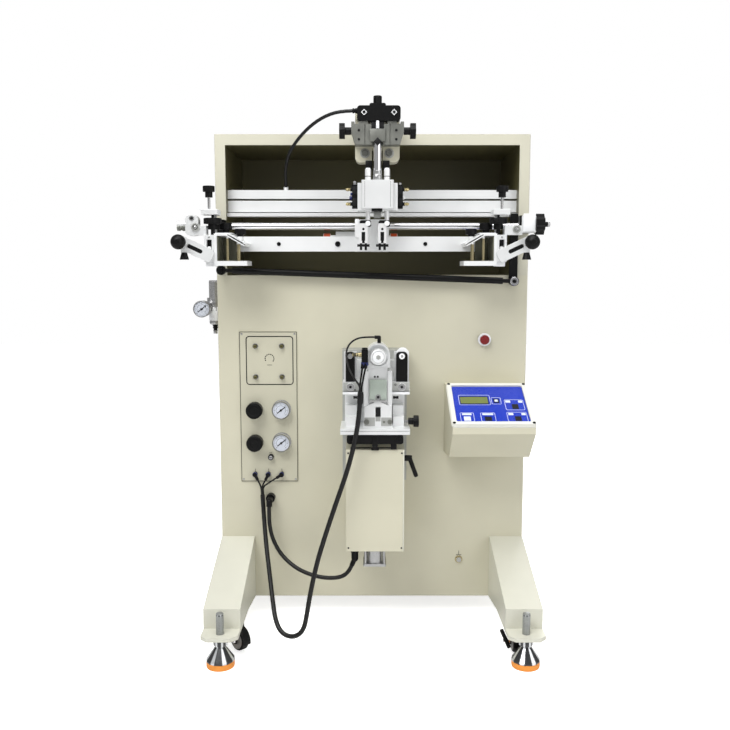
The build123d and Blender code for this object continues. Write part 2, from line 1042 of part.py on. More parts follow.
with BuildPart() as head_column:
    with BuildSketch(Plane.XY.offset(block_top)):
        with Locations((head_x, y_at(head_axis_out))):
            Circle(column_radius)
    extrude(amount=sensor_plate_bottom - block_top)
save(head_column.part, "head_column")

with BuildPart() as sensor_plate:
    with BuildSketch(front_plane(head_axis_out - sensor_plate_thickness / 2)):
        with Locations((head_x + sensor_plate_shift, sensor_plate_bottom + sensor_plate_height / 2)):
            RectangleRounded(sensor_plate_width, sensor_plate_height, sensor_plate_corner)
        with Locations((head_x, sensor_plate_bottom + sensor_plate_height)):
            RectangleRounded(sensor_hump_width, 2 * sensor_hump_height, sensor_hump_height - 1)
    extrude(amount=sensor_plate_thickness)
save(sensor_plate.part, "sensor_plate")


def lobed_outline(radius, lobe_radius, lobes):
    """Outline of a hand knob with round finger lobes."""
    with BuildSketch() as outline:
        Circle(radius - lobe_radius / 2)
        with PolarLocations(radius - lobe_radius, lobes):
            Circle(lobe_radius)
    return outline.sketch


with BuildPart() as head_knobs:
    for side in (-1, 1):
        face = Plane.YZ.offset(head_x + side * slide_half)
        with BuildSketch(face):
            with Locations((y_at(knob_axis_out), side_knob_height)):
                Circle(side_hub_radius)
        extrude(amount=side * side_hub_length)
        with BuildSketch(face.offset(side * side_hub_length)):
            with Locations((y_at(knob_axis_out), side_knob_height)):
                add(lobed_outline(side_knob_radius, side_knob_lobe_radius, side_knob_lobes))
        extrude(amount=side * side_knob_thickness)
    knob_bottom = sensor_plate_bottom + sensor_plate_height + sensor_hump_height
    with Locations((head_x, y_at(head_axis_out), knob_bottom)):
        Cylinder(top_knob_radius, top_knob_height, align=seated)
    chamfer(head_knobs.edges().group_by(Axis.Z)[-1], length=top_knob_chamfer)
save(head_knobs.part, "head_knobs")

# Cylinder block with its side and base plates, bored for the two guide rods
rod_places = [head_x - guide_rod_spacing / 2, head_x + guide_rod_spacing / 2]
block_middle = (block_bottom + block_top) / 2
plate_span = block_width + 2 * side_plate_thickness
with BuildPart() as cylinder_block:
    with BuildSketch(front_plane(head_axis_out - block_depth / 2)):
        with Locations((head_x, block_middle)):
            Rectangle(block_width, block_top - block_bottom)
    extrude(amount=block_depth)
    chamfer(cylinder_block.edges().filter_by(Axis.Z), length=block_edge)
    with BuildSketch(front_plane(head_axis_out - side_plate_depth / 2)):
        with Locations((head_x, block_middle - side_plate_drop)):
            Rectangle(plate_span, side_plate_height)
    extrude(amount=side_plate_depth)
    with BuildSketch(front_plane(head_axis_out - base_plate_depth / 2)):
        with Locations((head_x, block_bottom - base_plate_height / 2)):
            Rectangle(base_plate_width, base_plate_height)
    extrude(amount=base_plate_depth)
    with BuildSketch(Plane.XY.offset(block_bottom - base_plate_height)):
        with Locations(*[(rod_x, y_at(head_axis_out)) for rod_x in rod_places]):
            Circle(guide_rod_radius + running_clearance)
    extrude(amount=2 * (block_top - block_bottom), mode=Mode.SUBTRACT)
save(cylinder_block.part, "cylinder_block")

# Valves at both sides of the block, each with two barbed hose ends
with BuildPart() as valve_blocks:
    for side in (-1, 1):
        valve_face = Plane.YZ.offset(head_x + side * plate_span / 2)
        with BuildSketch(valve_face):
            with Locations((y_at(knob_axis_out), block_middle - valve_drop)):
                Rectangle(valve_depth, valve_height)
        extrude(amount=side * valve_width)
        for rise in (-barb_spacing / 2, barb_spacing / 2):
            with BuildSketch(valve_face.offset(side * valve_width)):
                with Locations((y_at(knob_axis_out), block_middle - valve_drop + rise)):
                    Circle(barb_collar_radius)
            extrude(amount=side * barb_collar_length)
            with BuildSketch(valve_face.offset(side * valve_width)):
                with Locations((y_at(knob_axis_out), block_middle - valve_drop + rise)):
                    Circle(barb_radius)
            extrude(amount=side * barb_length)
save(valve_blocks.part, "valve_blocks")


def build_holder(rod_x, with_lug):
    """Guide rod with its cap, and the forked holder of a squeegee or flood bar."""
    fork_x = rod_x - fork_offset
    fork_top = holder_top - holder_clamp_height / 2
    fork_bottom = fork_top - fork_height
    pin_height = fork_bottom - jaw_height / 4
    with BuildPart() as holder:
        with Locations((rod_x, y_at(head_axis_out), holder_top - holder_clamp_height / 2)):
            Cylinder(guide_rod_radius, block_top + rod_cap_height - holder_top, align=seated)
        with Locations((rod_x, y_at(head_axis_out), block_top + rod_seat_gap)):
            Cylinder(rod_cap_radius, rod_cap_height, align=seated)
        with BuildSketch(front_plane(head_axis_out - fork_thickness / 2)):
            with Locations((rod_x - holder_clamp_shift, holder_top - holder_clamp_height / 2)):
                RectangleRounded(holder_clamp_width, holder_clamp_height, holder_corner)
            with Locations((fork_x, (fork_top + fork_bottom) / 2)):
                RectangleRounded(fork_width, fork_height, holder_corner)
            with Locations((fork_x, fork_bottom)):
                Rectangle(fork_slot_width, 2 * fork_slot_height, mode=Mode.SUBTRACT)
            for hand in (-1, 1):
                with Locations((fork_x + hand * jaw_spacing / 2, fork_bottom - jaw_height / 4)):
                    Rectangle(jaw_width, jaw_height)
            if with_lug:
                lug_x = fork_x - (fork_width + fork_lug_width) / 2
                with Locations((lug_x, fork_top - fork_lug_height / 2)):
                    Rectangle(fork_lug_width, fork_lug_height)
        extrude(amount=fork_thickness)
        front = head_axis_out + fork_thickness / 2
        with Locations(facing(rod_x, holder_top - holder_clamp_height / 2, front)):
            Cylinder(fork_screw_radius, fork_screw_head, align=seated)
        with BuildSketch(Plane.YZ.offset(fork_x - jaw_rod_length / 2)):
            with Locations((y_at(head_axis_out), pin_height)):
                Circle(jaw_rod_radius)
        extrude(amount=jaw_rod_length)
        with BuildSketch(front_plane(head_axis_out - fork_thickness / 2)):
            with Locations((fork_x, fork_bottom + fork_slot_height + fork_pin_rise)):
                Circle(fork_pin_radius)
        extrude(amount=fork_thickness, mode=Mode.SUBTRACT)
    return holder.part


save(build_holder(rod_places[0], True), "squeegee_holder")
save(build_holder(rod_places[1], False), "flood_holder")

# Screen carriage: front bar, bearing block on the guide shaft, and its two buffers
bar_bottom = guide_shaft_height - bar_drop
bearing_top = guide_shaft_height + bearing_rise
bearing_left = carriage_x + bearing_offset - bearing_length / 2
bearing_right = bearing_left + bearing_length
buffer_height = guide_shaft_height - rear_plate_drop
with BuildPart() as carriage_bar:
    with BuildSketch(front_plane(bar_out)):
        with Locations((carriage_x, bar_bottom + bar_height / 2)):
            Rectangle(bar_length, bar_height)
    extrude(amount=bar_thickness)
    with BuildSketch(front_plane(bearing_out)):
        with Locations((carriage_x + bearing_offset, (bar_bottom + bearing_top) / 2)):
            Rectangle(bearing_length, bearing_top - bar_bottom)
    extrude(amount=bar_out - bearing_out)
    with BuildSketch(front_plane(bearing_out)):
        with Locations((bearing_left - rear_plate_left / 2, buffer_height)):
            Rectangle(rear_plate_left, rear_plate_height)
    extrude(amount=rear_plate_thickness)
    buffer_y = y_at(bearing_out + rear_plate_thickness / 2)
    for start, reach in (
        (bearing_left - rear_plate_left, -buffer_left_reach),
        (bearing_right, buffer_right_reach),
    ):
        side = reach / abs(reach)
        with BuildSketch(Plane.YZ.offset(start)):
            with Locations((buffer_y, buffer_height)):
                Circle(buffer_stud_radius)
        extrude(amount=reach)
        with BuildSketch(Plane.YZ.offset(start + reach)):
            with Locations((buffer_y, buffer_height)):
                Circle(buffer_radius)
        extrude(amount=side * buffer_length)
    with BuildSketch(Plane.YZ.offset(carriage_x - bar_length)):
        with Locations((y_at(guide_shaft_out), guide_shaft_height)):
            Circle(guide_shaft_radius + running_clearance)
    extrude(amount=2 * bar_length, mode=Mode.SUBTRACT)
save(carriage_bar.part, "carriage_bar")

# Screen clamps, one at each end of the bar
channel_out = bar_out + bar_thickness
channel_front = channel_out + channel_depth
channel_bottom = bar_bottom - channel_drop
channel_top = channel_bottom + channel_height
channel_middle = (channel_bottom + channel_top) / 2
jaw_height_middle = channel_top - jaw_plate_drop
box_out = channel_front - frame_box_depth
box_top = channel_middle + frame_box_height / 2
box_bottom = channel_middle - frame_box_height / 2
arm_height = channel_middle - arm_drop
clamp_axis_height = guide_shaft_height
top_block_bottom = channel_top + top_block_rise
top_block_top = top_block_bottom + top_block_height


def across(side, offset):
    """X coordinate of an offset from the carriage's middle, on one side of it."""
    return carriage_x + side * offset


def build_channel(side):
    """C-shaped channel with a tilted jaw, its posts and the plate below."""
    wall = channel_wall_thickness
    jaw_place = Location((across(side, jaw_plate_offset), jaw_height_middle), side * jaw_plate_tilt)
    with BuildPart() as channel:
        with BuildSketch(front_plane(channel_out)):
            with Locations((across(side, channel_wall_offset - wall / 2), channel_middle)):
                Rectangle(wall, channel_height)
            for height in (channel_bottom + flange_thickness / 2, channel_top - flange_thickness / 2):
                with Locations((across(side, channel_wall_offset - channel_reach / 2), height)):
                    Rectangle(channel_reach, flange_thickness)
            with Locations((across(side, channel_wall_offset - lower_plate_reach / 2), channel_bottom)):
                Rectangle(lower_plate_reach, 2 * lower_plate_thickness)
            with Locations(jaw_place):
                Rectangle(jaw_plate_length, jaw_plate_thickness)
        extrude(amount=channel_depth)
        with BuildSketch(front_plane(channel_front)):
            with Locations(jaw_place):
                Rectangle(jaw_plate_length * jaw_groove_share, jaw_plate_slot)
        extrude(amount=-jaw_plate_slot, mode=Mode.SUBTRACT)
        with BuildSketch(front_plane(channel_out)):
            with Locations((across(side, channel_wall_offset - channel_reach / 2), channel_middle)):
                Rectangle(channel_reach, channel_height)
        extrude(amount=web_thickness)
        for offset, radius in (
            (outer_post_offset, outer_post_radius),
            (inner_post_offset, inner_post_radius),
        ):
            rise = (offset - jaw_plate_offset) * tan(radians(jaw_plate_tilt))
            with Locations((across(side, offset), y_at(channel_front - post_inset), channel_bottom)):
                Cylinder(radius, jaw_height_middle + rise - channel_bottom, align=seated)
        with Locations((across(side, inner_knob_offset), y_at(inner_knob_out), jaw_height_middle)):
            Cylinder(knob_pad_radius, knob_pad_rise, align=seated)
    return channel.part


def build_clamp_arm(side):
    """Frame box with its slotted arm, the shaft bracket beside it and the block on top."""
    box_x = across(side, channel_wall_offset + frame_box_width / 2)
    with BuildPart() as arm:
        with BuildSketch(front_plane(box_out)):
            with Locations((box_x, channel_middle)):
                Rectangle(frame_box_width, frame_box_height)
        extrude(amount=frame_box_depth)
        with BuildSketch(front_plane(channel_front)):
            with Locations((box_x, channel_middle)):
                Rectangle(frame_box_window_width, frame_box_window_height)
                Circle(frame_boss_radius, mode=Mode.SUBTRACT)
        extrude(amount=-frame_box_window_depth, mode=Mode.SUBTRACT)
        with BuildSketch(front_plane(channel_front)):
            with Locations(Location((across(side, arm_offset), arm_height), side * arm_tilt)):
                RectangleRounded(arm_length, arm_tall, arm_corner)
                SlotOverall(arm_slot_length, arm_slot_width, mode=Mode.SUBTRACT)
            with Locations((across(side, arm_lug_offset), arm_height + arm_lug_rise)):
                Rectangle(arm_lug_width, arm_lug_height)
        extrude(amount=arm_thickness)
        with BuildSketch(front_plane(clamp_axis_out - shaft_bracket_depth / 2)):
            with Locations((across(side, carrier_offset), box_top + carrier_height / 2)):
                Rectangle(carrier_width, carrier_height)
            if side < 0:
                with Locations((across(side, shaft_bracket_offset), clamp_axis_height - shaft_bracket_drop)):
                    RectangleRounded(shaft_bracket_width, shaft_bracket_height, shaft_bracket_corner)
                hole_height = clamp_axis_height + shaft_bracket_hole_rise
                with Locations((across(side, shaft_bracket_offset), hole_height)):
                    Circle(shaft_bracket_hole, mode=Mode.SUBTRACT)
            else:
                with Locations((across(side, right_plate_offset), clamp_axis_height)):
                    RectangleRounded(right_plate_width, right_plate_height, right_plate_corner)
        extrude(amount=shaft_bracket_depth)
        if side < 0:
            shaft_start = shaft_bracket_offset + shaft_bracket_width / 2
            with BuildSketch(Plane.YZ.offset(across(side, shaft_start))):
                with Locations((y_at(clamp_axis_out), clamp_axis_height)):
                    Circle(clamp_shaft_radius)
            extrude(amount=side * clamp_shaft_length)
        with BuildSketch(front_plane(box_out)):
            with Locations((across(side, top_post_offset), (box_top + top_block_bottom) / 2)):
                Rectangle(top_post_width, top_block_bottom - box_top)
        extrude(amount=top_post_width)
        with BuildSketch(front_plane(box_out)):
            with Locations((across(side, top_block_offset), top_block_bottom + top_block_height / 2)):
                Rectangle(top_block_width, top_block_height)
        extrude(amount=frame_box_depth)
    return arm.part


save(build_channel(-1), "clamp_channel_left")
save(build_channel(1), "clamp_channel_right")
save(build_clamp_arm(-1), "clamp_arm_left")
save(build_clamp_arm(1), "clamp_arm_right")


def build_turned(x, out, steps):
    """Turned upright piece from (radius, bottom, top) steps."""
    with BuildPart() as turned:
        for radius, bottom, top in steps:
            with Locations((x, y_at(out), bottom)):
                Cylinder(radius, top - bottom, align=seated)
    return turned.part


def build_clamp_knobs(side):
    """Black hand knobs on their studs: two above the box, two on the channel, three on the arm."""
    neck_bottom = top_block_top + top_stud_length
    head_bottom = neck_bottom + top_neck_height
    nut_bottom = box_top + nut_foot_height + nut_hub_height
    outer_head = channel_top + outer_knob_neck
    pad_top = jaw_height_middle + knob_pad_rise
    inner_head = pad_top + inner_knob_neck
    arm_front = channel_front + arm_thickness
    lug_bottom = arm_height + arm_lug_rise - arm_lug_height / 2
    ball_x = across(side, ball_offset)
    ball_z = arm_height + (ball_offset - arm_offset) * tan(radians(arm_tilt))
    with BuildPart() as knobs:
        add(
            build_turned(
                across(side, top_knob_offset),
                top_knob_out,
                (
                    (stud_rod_radius, top_block_top, head_bottom),
                    (top_neck_radius, neck_bottom, head_bottom),
                    (top_head_radius, head_bottom, head_bottom + top_head_height),
                ),
            )
        )
        add(
            build_turned(
                across(side, nut_offset),
                clamp_axis_out,
                (
                    (nut_foot_radius, box_top, box_top + nut_foot_height),
                    (nut_hub_radius, box_top + nut_foot_height, nut_bottom),
                    (nut_radius, nut_bottom, nut_bottom + nut_height),
                    (stud_rod_radius, nut_bottom, top_block_bottom),
                ),
            )
        )
        add(
            build_turned(
                across(side, outer_knob_offset),
                outer_knob_out,
                (
                    (knob_neck_radius, channel_top, outer_head),
                    (outer_knob_radius, outer_head, outer_head + outer_knob_height),
                ),
            )
        )
        add(
            build_turned(
                across(side, inner_knob_offset),
                inner_knob_out,
                (
                    (knob_pad_radius, pad_top, inner_head),
                    (inner_knob_radius, inner_head, inner_head + inner_knob_height),
                ),
            )
        )
        with Locations((across(side, arm_lug_offset), y_at(channel_front + arm_thickness / 2), lug_bottom)):
            Cone(
                lug_knob_radius,
                lug_knob_top_radius,
                lug_knob_height,
                align=(Align.CENTER, Align.CENTER, Align.MAX),
            )
        with Locations(facing(ball_x, ball_z, arm_front)):
            Cylinder(ball_neck_radius, ball_neck_length, align=seated)
        with Locations((ball_x, y_at(arm_front + ball_center_reach), ball_z)):
            Sphere(ball_radius)
        if side > 0:
            star_face = Plane.YZ.offset(across(side, right_plate_offset + right_plate_width / 2))
            with BuildSketch(star_face):
                with Locations((y_at(clamp_axis_out), clamp_axis_height)):
                    add(lobed_outline(star_radius, star_lobe_radius, star_lobes))
            extrude(amount=star_thickness)
            with BuildSketch(star_face):
                with Locations((y_at(clamp_axis_out), clamp_axis_height)):
                    Circle(star_tip_radius)
            extrude(amount=star_thickness + star_tip_length)
    return knobs.part


save(build_clamp_knobs(-1), "clamp_knobs_left")
save(build_clamp_knobs(1), "clamp_knobs_right")

# Product nest: guide plate and column cover on the cabinet
with BuildPart() as nest_guide_plate:
    with BuildSketch(front_plane(0)):
        with Locations((nest_x, (guide_plate_bottom + guide_plate_top) / 2)):
            Rectangle(guide_plate_width, guide_plate_top - guide_plate_bottom)
    extrude(amount=guide_plate_depth)
save(nest_guide_plate.part, "nest_guide_plate")

with BuildPart() as column_cover:
    with BuildSketch(front_plane(guide_plate_depth)):
        with Locations((nest_x, (column_cover_bottom + column_cover_top) / 2)):
            Rectangle(column_cover_width, column_cover_top - column_cover_bottom)
    extrude(amount=column_cover_out - guide_plate_depth)
    with BuildSketch(front_plane(0)):
        with Locations((nest_x, (column_cover_bottom + guide_plate_bottom) / 2)):
            Rectangle(column_cover_width, guide_plate_bottom - column_cover_bottom)
    extrude(amount=guide_plate_depth)
save(column_cover.part, "column_cover")

# Lift cylinder under the cover: tube between two square flanges held by tie rods
with BuildPart() as lift_cylinder:
    with Locations((nest_x, y_at(lift_cylinder_out), lift_cylinder_bottom)):
        Cylinder(lift_cylinder_radius, column_cover_bottom - lift_cylinder_bottom, align=seated)
        with GridLocations(2 * tie_bolt_offset, 2 * tie_bolt_offset, 2, 2):
            Cylinder(tie_bolt_radius, column_cover_bottom - lift_cylinder_bottom, align=seated)
    for bottom in (lift_cylinder_bottom, column_cover_bottom - lift_flange_height):
        with BuildSketch(Plane.XY.offset(bottom)):
            with Locations((nest_x, y_at(lift_cylinder_out))):
                RectangleRounded(lift_body_size, lift_body_size, tie_bolt_radius)
        extrude(amount=lift_flange_height)
save(lift_cylinder.part, "lift_cylinder")

# Clamping lever at the right of the column cover
cover_right = nest_x + column_cover_width / 2
with BuildPart() as clamp_lever:
    with BuildSketch(Plane.YZ.offset(cover_right + lever_gap)):
        with Locations((y_at(lever_out), lever_height)):
            Circle(lever_hub_radius)
    extrude(amount=lever_hub_length)
    with BuildSketch(Plane.YZ.offset(cover_right + lever_hub_length - lever_arm_inset)):
        with Locations((y_at(lever_out), lever_height - lever_arm_length / 2)):
            RectangleRounded(lever_arm_width, lever_arm_length, lever_arm_corner)
    extrude(amount=lever_arm_width)
save(clamp_lever.part, "clamp_lever")

# Nest that moves up the guide plate: back plate, table and the blocks on it
nest_back_out = guide_plate_depth + nest_slide_gap
nest_front = nest_back_out + nest_back_thickness
table_top = table_bottom + table_thickness
with BuildPart() as nest_table:
    with BuildSketch(front_plane(nest_back_out)):
        with Locations((nest_x, (nest_back_bottom + nest_back_top) / 2)):
            Rectangle(nest_back_width, nest_back_top - nest_back_bottom)
    extrude(amount=nest_back_thickness)
    with BuildSketch(front_plane(nest_back_out)):
        with Locations((nest_x, table_bottom + table_thickness / 2)):
            Rectangle(table_width, table_thickness)
    extrude(amount=table_out - nest_back_out)
    for side in (-1, 1):
        for height, reach in (
            (side_block_height, side_block_out),
            (side_block_height + side_step_height, side_step_out),
        ):
            with BuildSketch(front_plane(nest_back_out)):
                with Locations((nest_x + side * side_block_offset, table_top + height / 2)):
                    Rectangle(side_block_width, height)
            extrude(amount=reach - nest_back_out)
save(nest_table.part, "nest_table")

# Carrier of the chuck: centre block, side strips, cross bar and slotted front piece
housing_foot = chuck_height - housing_radius
cross_bar_top = cross_bar_height + cross_bar_thickness / 2
cross_bar_bottom = cross_bar_height - cross_bar_thickness / 2
cross_bar_x = chuck_x - cross_bar_shift
boss_places = [
    (cross_bar_x - cross_bar_width / 2 + boss_inset, cross_bar_height),
    (cross_bar_x + cross_bar_width / 2 - boss_inset, cross_bar_height),
]
arm_top = cross_bar_top + arm_height_above_bar
arm_back = cross_bar_out - arm_bar_thickness
arm_sizes = ((left_arm_x, left_arm_width), (right_arm_x, right_arm_width))
with BuildPart() as nest_base:
    with BuildSketch(front_plane(nest_front)):
        with Locations((chuck_x, (housing_foot + table_top) / 2)):
            Rectangle(centre_width, housing_foot - table_top)
    extrude(amount=centre_out - nest_front)
    with BuildSketch(front_plane(nest_front)):
        for side in (-1, 1):
            strip_x = chuck_x + side * (centre_width + side_strip_width) / 2
            with Locations((strip_x, (side_strip_top + table_top) / 2)):
                Rectangle(side_strip_width, side_strip_top - table_top)
    extrude(amount=side_strip_out - nest_front)
    with BuildSketch(front_plane(nest_front)):
        with Locations((cross_bar_x, cross_bar_height)):
            Rectangle(cross_bar_width, cross_bar_thickness)
    extrude(amount=cross_bar_out - nest_front)
    with BuildSketch(front_plane(nest_front)):
        with Locations((cross_bar_x, cross_bar_bottom - cross_lip_height / 2)):
            Rectangle(cross_bar_width, cross_lip_height)
    extrude(amount=cross_bar_out + cross_lip_reach - nest_front)
    with Locations(*[facing(x, z, cross_bar_out) for x, z in boss_places]):
        Cylinder(boss_radius, boss_proud, align=seated)
        Hole(boss_bore, depth=boss_proud)
    with BuildSketch(front_plane(centre_out)):
        with BuildLine():
            Polyline(
                (chuck_x - trapezoid_half_bottom, table_top),
                (chuck_x + trapezoid_half_bottom, table_top),
                (chuck_x + trapezoid_half_top, trapezoid_top),
                (chuck_x + trapezoid_neck, trapezoid_top + trapezoid_neck_height),
                (chuck_x - trapezoid_neck, trapezoid_top + trapezoid_neck_height),
                (chuck_x - trapezoid_half_top, trapezoid_top),
                close=True,
            )
        make_face()
        with Locations((chuck_x, (trapezoid_slot_bottom + trapezoid_top) / 2)):
            Rectangle(trapezoid_slot_width, trapezoid_top - trapezoid_slot_bottom, mode=Mode.SUBTRACT)
    extrude(amount=trapezoid_out - centre_out)
    for x, width in arm_sizes:
        with BuildSketch(front_plane(arm_back - arm_backing_thickness)):
            with Locations((x, (cross_bar_height + arm_top) / 2)):
                Rectangle(width + 2 * arm_backing_margin, arm_top - cross_bar_height)
        extrude(amount=arm_backing_thickness)
save(nest_base.part, "nest_base")

with BuildPart() as nest_arms:
    for x, width in arm_sizes:
        with BuildSketch(front_plane(arm_back)):
            with BuildLine():
                FilletPolyline(
                    (x - width / 2, cross_bar_top),
                    (x - width / 2, arm_top),
                    (x + width / 2, arm_top),
                    (x + width / 2, cross_bar_top),
                    radius=arm_top_radius,
                )
                Line((x + width / 2, cross_bar_top), (x - width / 2, cross_bar_top))
            make_face()
        extrude(amount=arm_bar_thickness)
        with Locations(facing(x, arm_top - arm_bolt_drop, cross_bar_out)):
            Cylinder(arm_bolt_radius, arm_bolt_head, align=seated)
    knob_start = nest_x + side_block_offset + side_block_width / 2
    for radius, length in (
        (nest_knob_stud_radius, nest_knob_stud_length),
        (nest_knob_body_radius, nest_knob_body_length),
        (nest_knob_head_radius, nest_knob_head_length),
    ):
        with BuildSketch(Plane.YZ.offset(knob_start)):
            with Locations((y_at(nest_knob_out), nest_knob_height)):
                Circle(radius)
        extrude(amount=length)
        knob_start += length
save(nest_arms.part, "nest_arms")

with BuildPart() as guard_bar:
    guard_top = table_bottom - guard_gap
    guard_bottom = guard_top - guard_height
    with BuildSketch(front_plane(table_out - guard_inset - guard_depth)):
        with Locations((nest_x, (guard_top + guard_bottom) / 2)):
            RectangleRounded(guard_width, guard_height, guard_corner)
        with Locations((nest_x, guard_bottom)):
            Rectangle(guard_drop_width, 2 * guard_drop_height)
        with Locations((nest_x, (guard_top + table_bottom) / 2)):
            Rectangle(guard_stem_width, guard_gap)
    extrude(amount=guard_depth)
save(guard_bar.part, "guard_bar")

with BuildPart() as chuck_housing:
    with BuildSketch(front_plane(housing_out)):
        with Locations((chuck_x, chuck_height)):
            Circle(housing_radius)
        with Locations((chuck_x, (housing_foot + chuck_height) / 2)):
            Rectangle(2 * housing_radius, housing_radius)
        with Locations((chuck_x, chuck_height)):
            Circle(spindle_radius + running_clearance, mode=Mode.SUBTRACT)
    extrude(amount=housing_depth)
    with BuildSketch(front_plane(housing_out + housing_depth)):
        with Locations((chuck_x, chuck_height)):
            Circle(housing_radius - housing_shell)
            Circle(housing_hub_radius, mode=Mode.SUBTRACT)
    extrude(amount=-housing_ring_depth, mode=Mode.SUBTRACT)
save(chuck_housing.part, "chuck_housing")

with BuildPart() as chuck:
    with BuildSketch(front_plane(housing_out + spindle_inset)):
        with Locations((chuck_x, chuck_height)):
            Circle(spindle_radius)
    extrude(amount=chuck_out - housing_out - spindle_inset)
    with BuildSketch(front_plane(chuck_out)):
        with Locations((chuck_x, chuck_height)):
            Circle(chuck_radius)
    extrude(amount=chuck_length)
    fillet(chuck.edges().filter_by(GeomType.CIRCLE).group_by(Axis.Y)[0], radius=chuck_edge)
    with BuildSketch(front_plane(chuck_out + chuck_length)):
        with Locations((chuck_x, chuck_height)):
            Circle(chuck_radius - chuck_rim)
            Circle(chuck_radius - chuck_rim - chuck_groove_width, mode=Mode.SUBTRACT)
    extrude(amount=-chuck_recess, mode=Mode.SUBTRACT)
save(chuck.part, "chuck")

# Air fittings of the nest with two short tubes aimed at the bundle, and the free loop
nest_seats = bundle_seats(main_route[-1], run_direction(main_route, -2, -1))
housing_front = housing_out + housing_depth
port_y = y_at(housing_front + fitting_port_reach)
port_places = (
    (Vector(fitting_body_x - port_spacing / 2, port_y, fitting_body_bottom), nest_seats[0]),
    (Vector(fitting_body_x + port_spacing / 2, port_y, fitting_body_bottom), nest_seats[2]),
)
loop_route = route_of(loop_points) + list(nest_seats[1])
with BuildPart() as nest_fittings:
    with BuildSketch(front_plane(housing_front)):
        with Locations((fitting_body_x, (fitting_body_top + fitting_body_bottom) / 2)):
            RectangleRounded(
                fitting_body_width, fitting_body_top - fitting_body_bottom, fitting_body_corner
            )
    extrude(amount=fitting_body_depth)
    for source, seat in port_places:
        add(build_stub(source, (seat[0] - source).normalized(), port_radius, port_length))
        with Locations((source.X, source.Y, source.Z)):
            Sphere(port_radius)
        port_end = source + (seat[0] - source).normalized() * port_length
        add(build_tube([port_end, seat[0], seat[1]], tube_diameter))
    with BuildSketch(Plane.YZ.offset(fitting_body_x - fitting_body_width / 2)):
        with Locations((port_y, brass_height)):
            Circle(brass_radius)
    extrude(amount=-brass_length)
    elbow_foot = chuck_height + housing_radius + elbow_seat_gap
    elbow = loop_route[0] - run_direction(loop_route, 0, 1) * brass_elbow_length
    add(build_stub(loop_route[0], (elbow - loop_route[0]).normalized(), brass_radius, brass_elbow_length))
    with Locations((elbow.X, elbow.Y, elbow.Z)):
        Sphere(brass_radius)
    with Locations((elbow.X, elbow.Y, elbow_foot)):
        Cylinder(brass_radius, elbow.Z - elbow_foot, align=seated)
save(nest_fittings.part, "nest_fittings")

save(build_tube(loop_route, tube_diameter), "nest_tubes")

# Pneumatic panel with its knobs, gauges, valve screws and push-in fittings
with BuildPart() as pneumatic_panel:
    with BuildSketch(front_plane(0)):
        with Locations((pneumatic_panel_x, (pneumatic_panel_bottom + pneumatic_panel_top) / 2)):
            Rectangle(pneumatic_panel_width, pneumatic_panel_top - pneumatic_panel_bottom)
    extrude(amount=pneumatic_panel_thickness)
save(pneumatic_panel.part, "pneumatic_panel")

with BuildPart() as regulator_knobs:
    for height in (upper_row_height, lower_row_height):
        with Locations(facing(knob_column_x, height, pneumatic_panel_thickness)):
            Cylinder(regulator_base_radius, regulator_knob_length, align=seated)
        with Locations(facing(knob_column_x, height, pneumatic_panel_thickness + regulator_base_length)):
            Cylinder(regulator_knob_radius, regulator_knob_length - regulator_base_length, align=seated)
    chamfer(regulator_knobs.edges().group_by(Axis.Y)[0], length=regulator_knob_chamfer)
save(regulator_knobs.part, "regulator_knobs")

with BuildPart() as pressure_gauges:
    for height in (upper_row_height, lower_row_height):
        with Locations(facing(gauge_column_x, height, pneumatic_panel_thickness)):
            Cylinder(gauge_radius, gauge_depth, align=seated)
        dial_out = pneumatic_panel_thickness + gauge_depth - gauge_recess
        with Locations(facing(gauge_column_x, height, dial_out)):
            Cylinder(gauge_radius - gauge_rim, gauge_recess, align=seated, mode=Mode.SUBTRACT)
save(pressure_gauges.part, "pressure_gauges")

panel_seats = bundle_seats(main_route[0], -run_direction(main_route, 0, 1))
fitting_core_y = y_at(pneumatic_panel_thickness + fitting_length - fitting_outlet_radius)
fitting_cores = [
    Vector(fitting_x + step * fitting_spacing, fitting_core_y, fitting_height) for step in (-1, 0, 1)
]
with BuildPart() as panel_fittings:
    for core, seat in zip(fitting_cores, panel_seats):
        with Locations(facing(core.X, fitting_height, pneumatic_panel_thickness)):
            Cylinder(fitting_radius, fitting_length, align=seated)
        outlet_length = fitting_radius + fitting_outlet_length
        add(build_stub(core, (seat[0] - core).normalized(), fitting_outlet_radius, outlet_length))
    for x in (needle_valve_left, needle_valve_right):
        for height in (needle_valve_top, needle_valve_bottom):
            with Locations(facing(x, height, pneumatic_panel_thickness)):
                Cylinder(needle_valve_radius, needle_valve_length, align=seated)
    with Locations(facing(switch_x, switch_height, pneumatic_panel_thickness)):
        Cylinder(switch_radius, switch_length, align=seated)
save(panel_fittings.part, "panel_fittings")

with BuildPart() as panel_tubes:
    for core, seat in zip(fitting_cores, panel_seats):
        start = core + (seat[0] - core).normalized() * outlet_length
        add(build_tube([start, seat[0], seat[1]], tube_diameter))
save(panel_tubes.part, "panel_tubes")

